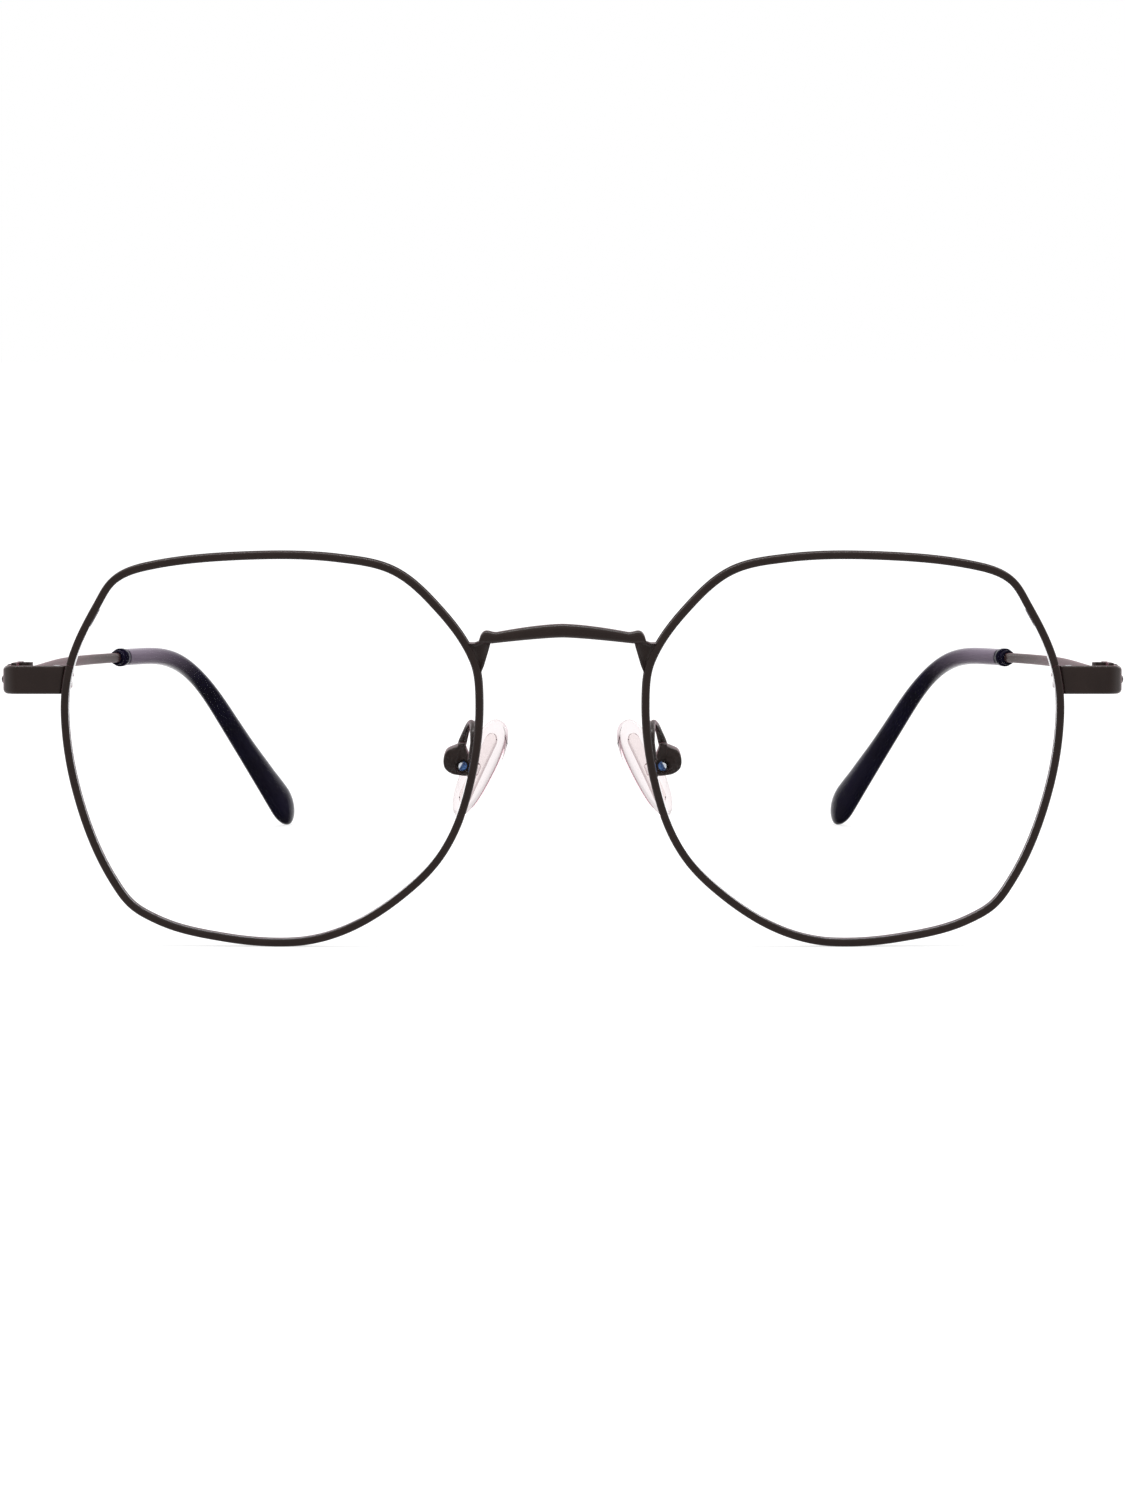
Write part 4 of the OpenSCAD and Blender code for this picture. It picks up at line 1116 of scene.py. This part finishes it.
def inward(s):
    turn = temple["inwardFront"] * blend((s - temple["straight"]) / temple["inwardFrontLength"])
    back = temple["inwardBack"] - temple["inwardFront"]
    return math.radians(turn + back * blend((s - temple["inwardAt"]) / temple["inwardLength"]))


def drop(s):
    return math.radians(temple["drop"] * blend((s - temple["bendAt"]) / temple["bendLength"]))


def headingAt(s):
    level = Vector((-math.sin(inward(s)), math.cos(inward(s)), 0))
    return math.cos(drop(s)) * level - Vector((0, 0, math.sin(drop(s))))


templeLine = [Vector((sideIn + temple["plateWidth"] / 2, hinge["butt"] + hinge["slack"], 0))]
for step in range(temple["length"] + 1):
    templeLine.append(templeLine[-1] + headingAt(step + 0.5))


# one ring round the temple at a distance along it, with its middle raised
def templeRing(s, section, lift=0):
    before = int(s)
    spot = mix(templeLine[before], templeLine[before + 1], s - before)
    way = headingAt(s)
    across = way.cross(Vector((0, 0, 1))).normalized()
    upward = across.cross(way)
    rise = temple["rise"] * blend((s - temple["riseAt"]) / temple["riseLength"])
    return [spot + q.x * across + (q.y + lift) * upward + Vector((0, 0, rise)) for q in section]


def makeTemple():
    rings = []
    taperEnd = temple["straight"] + temple["taper"]
    for s in spread(0, taperEnd + 2, 24) + spread(taperEnd + 4, temple["coreLength"], 100):
        slim = blend((s - temple["straight"]) / temple["taper"])
        sleeved = blend((s - temple["bare"] + 1) / 2)
        width = mix(mix(temple["plateWidth"], temple["wireWidth"], slim), temple["core"], sleeved)
        height = mix(mix(temple["plateHeight"], temple["wireHeight"], slim), temple["core"], sleeved)
        rounding = mix(temple["plateRounding"], temple["rounding"], slim)
        section = roundedSection(-width / 2, width / 2, -height / 2, height / 2, [rounding] * 4)
        rings.append(templeRing(s, section))
    return loft(rings)


addPair("Temple", makeTemple(), hingePlace, lacquer, "temple", "temple")


# tips: from inside the bore out to the mouth, over a stepped collar, and back to the paddle end
def makeTip():
    start, end = temple["bare"], temple["length"]
    rings, places = [], []
    for s in (start + tip["boreDepth"], start + tip["mouthIn"]):
        rings.append(templeRing(s, disc(tip["bore"], tip["count"])))
        places.append(start)
    steps = ((tip["ring"], 0, tip["ringEnd"]), (tip["collar"], tip["ringEnd"], tip["collarEnd"]))
    for size, low, high in steps:
        # how much narrower than the step it is, and where. Both ends of a step are rounded
        profile = ((0.24, low), (0.12, low + 0.03), (0, low + 0.12), (0, high - 0.1), (0.1, high - 0.02))
        for less, place in profile:
            rings.append(templeRing(start + place, disc(size - less, tip["count"])))
            places.append(start + place)
    body = [(s, 1) for s in spread(start + tip["bodyFrom"], end - tip["end"], 90)]
    for angle in spread(4, 88, 20):
        reach = math.sin(math.radians(angle)) - 1
        body.append((end + tip["end"] * reach, math.cos(math.radians(angle))))
    for s, slim in body:
        height = smoothValue(tip["heights"], s)
        section = superOval(tip["width"] * slim, height * slim, tip["power"], tip["count"])
        rings.append(templeRing(s, section, tip["lift"] * (height - tip["mouthHeight"])))
        places.append(s)
    mesh = loft(rings)
    values = [place for place in places for k in range(tip["count"])]
    mesh.attributes.new("alongTemple", "FLOAT", "POINT").data.foreach_set("value", values)
    return mesh


addPair("Tip", makeTip(), hingePlace, acetate, "temple", "temple_tip")
print("temples and tips made")

# the stage: a white table that keeps the glasses' shadow, white surroundings and plain soft light.
# Where they are seen, the table has a glow of its own and the surroundings are full white
stage = {"size": 6, "table": "a8a8a8", "own": 0.7, "world": 0.82}


# 1 for the rays of the camera, mirrors and clear pieces
def whereSeen(tree):
    path = addNode(tree, "ShaderNodeLightPath").outputs
    seen = addNode(tree, "ShaderNodeMath", {
        0: path["Is Camera Ray"], 1: path["Is Glossy Ray"],
    }, operation="MAXIMUM")
    return addNode(tree, "ShaderNodeMath", {0: seen, 1: path["Is Transmission Ray"]}, operation="MAXIMUM")


def makeFloor():
    material, tree = newMaterial("white table")
    paper = addNode(tree, "ShaderNodeBsdfDiffuse", {"Color": linear(stage["table"])})
    own = addNode(tree, "ShaderNodeMath", {0: whereSeen(tree), 1: stage["own"]}, operation="MULTIPLY")
    glow = addNode(tree, "ShaderNodeEmission", {"Strength": own})
    whole = addNode(tree, "ShaderNodeAddShader", {0: paper, 1: glow})
    addNode(tree, "ShaderNodeOutputMaterial", {"Surface": whole})
    half = stage["size"] / 2
    corners = [(-half, -half, 0), (half, -half, 0), (half, half, 0), (-half, half, 0)]
    mesh = bpy.data.meshes.new("floor")
    mesh.from_pydata(corners, [], [(0, 1, 2, 3)])
    mesh.materials.append(material)
    floor = addObject("floor", mesh)


def makeWorld():
    world = bpy.data.worlds.new("studio")
    world.use_nodes = True
    tree = world.node_tree
    tree.nodes.clear()
    level = addNode(tree, "ShaderNodeMix", {0: whereSeen(tree), 2: stage["world"], 3: 1.0})
    light = addNode(tree, "ShaderNodeBackground", {"Color": (1, 1, 1, 1), "Strength": level})
    addNode(tree, "ShaderNodeOutputWorld", {"Surface": light})
    bpy.context.scene.world = world


# each lamp's place, size in metres and power in watts
lamps = {
    "overhead": ((0, -0.1, 0.8), (0.9, 0.06), 4.5),
    "front": ((0, -0.9, 0.35), (0.35, 0.2), 0.5),
    "backLeft": ((-0.55, 0.6, 0.35), (0.3, 0.4), 0.8),
    "backRight": ((0.55, 0.6, 0.35), (0.3, 0.4), 0.8),
}


def addLamp(name, spot, size, power):
    data = bpy.data.lights.new(name, "AREA")
    data.shape = "RECTANGLE"
    data.size, data.size_y = size
    data.energy = power
    lamp = addObject(name, data)
    lamp.location = spot
    lamp.rotation_euler = (-Vector(spot)).to_track_quat("-Z", "Y").to_euler()


makeFloor()
makeWorld()
for name, (spot, size, power) in lamps.items():
    addLamp(name, spot, size, power)
bpy.context.scene.view_settings.view_transform = "Standard"
print("stage and lights made")
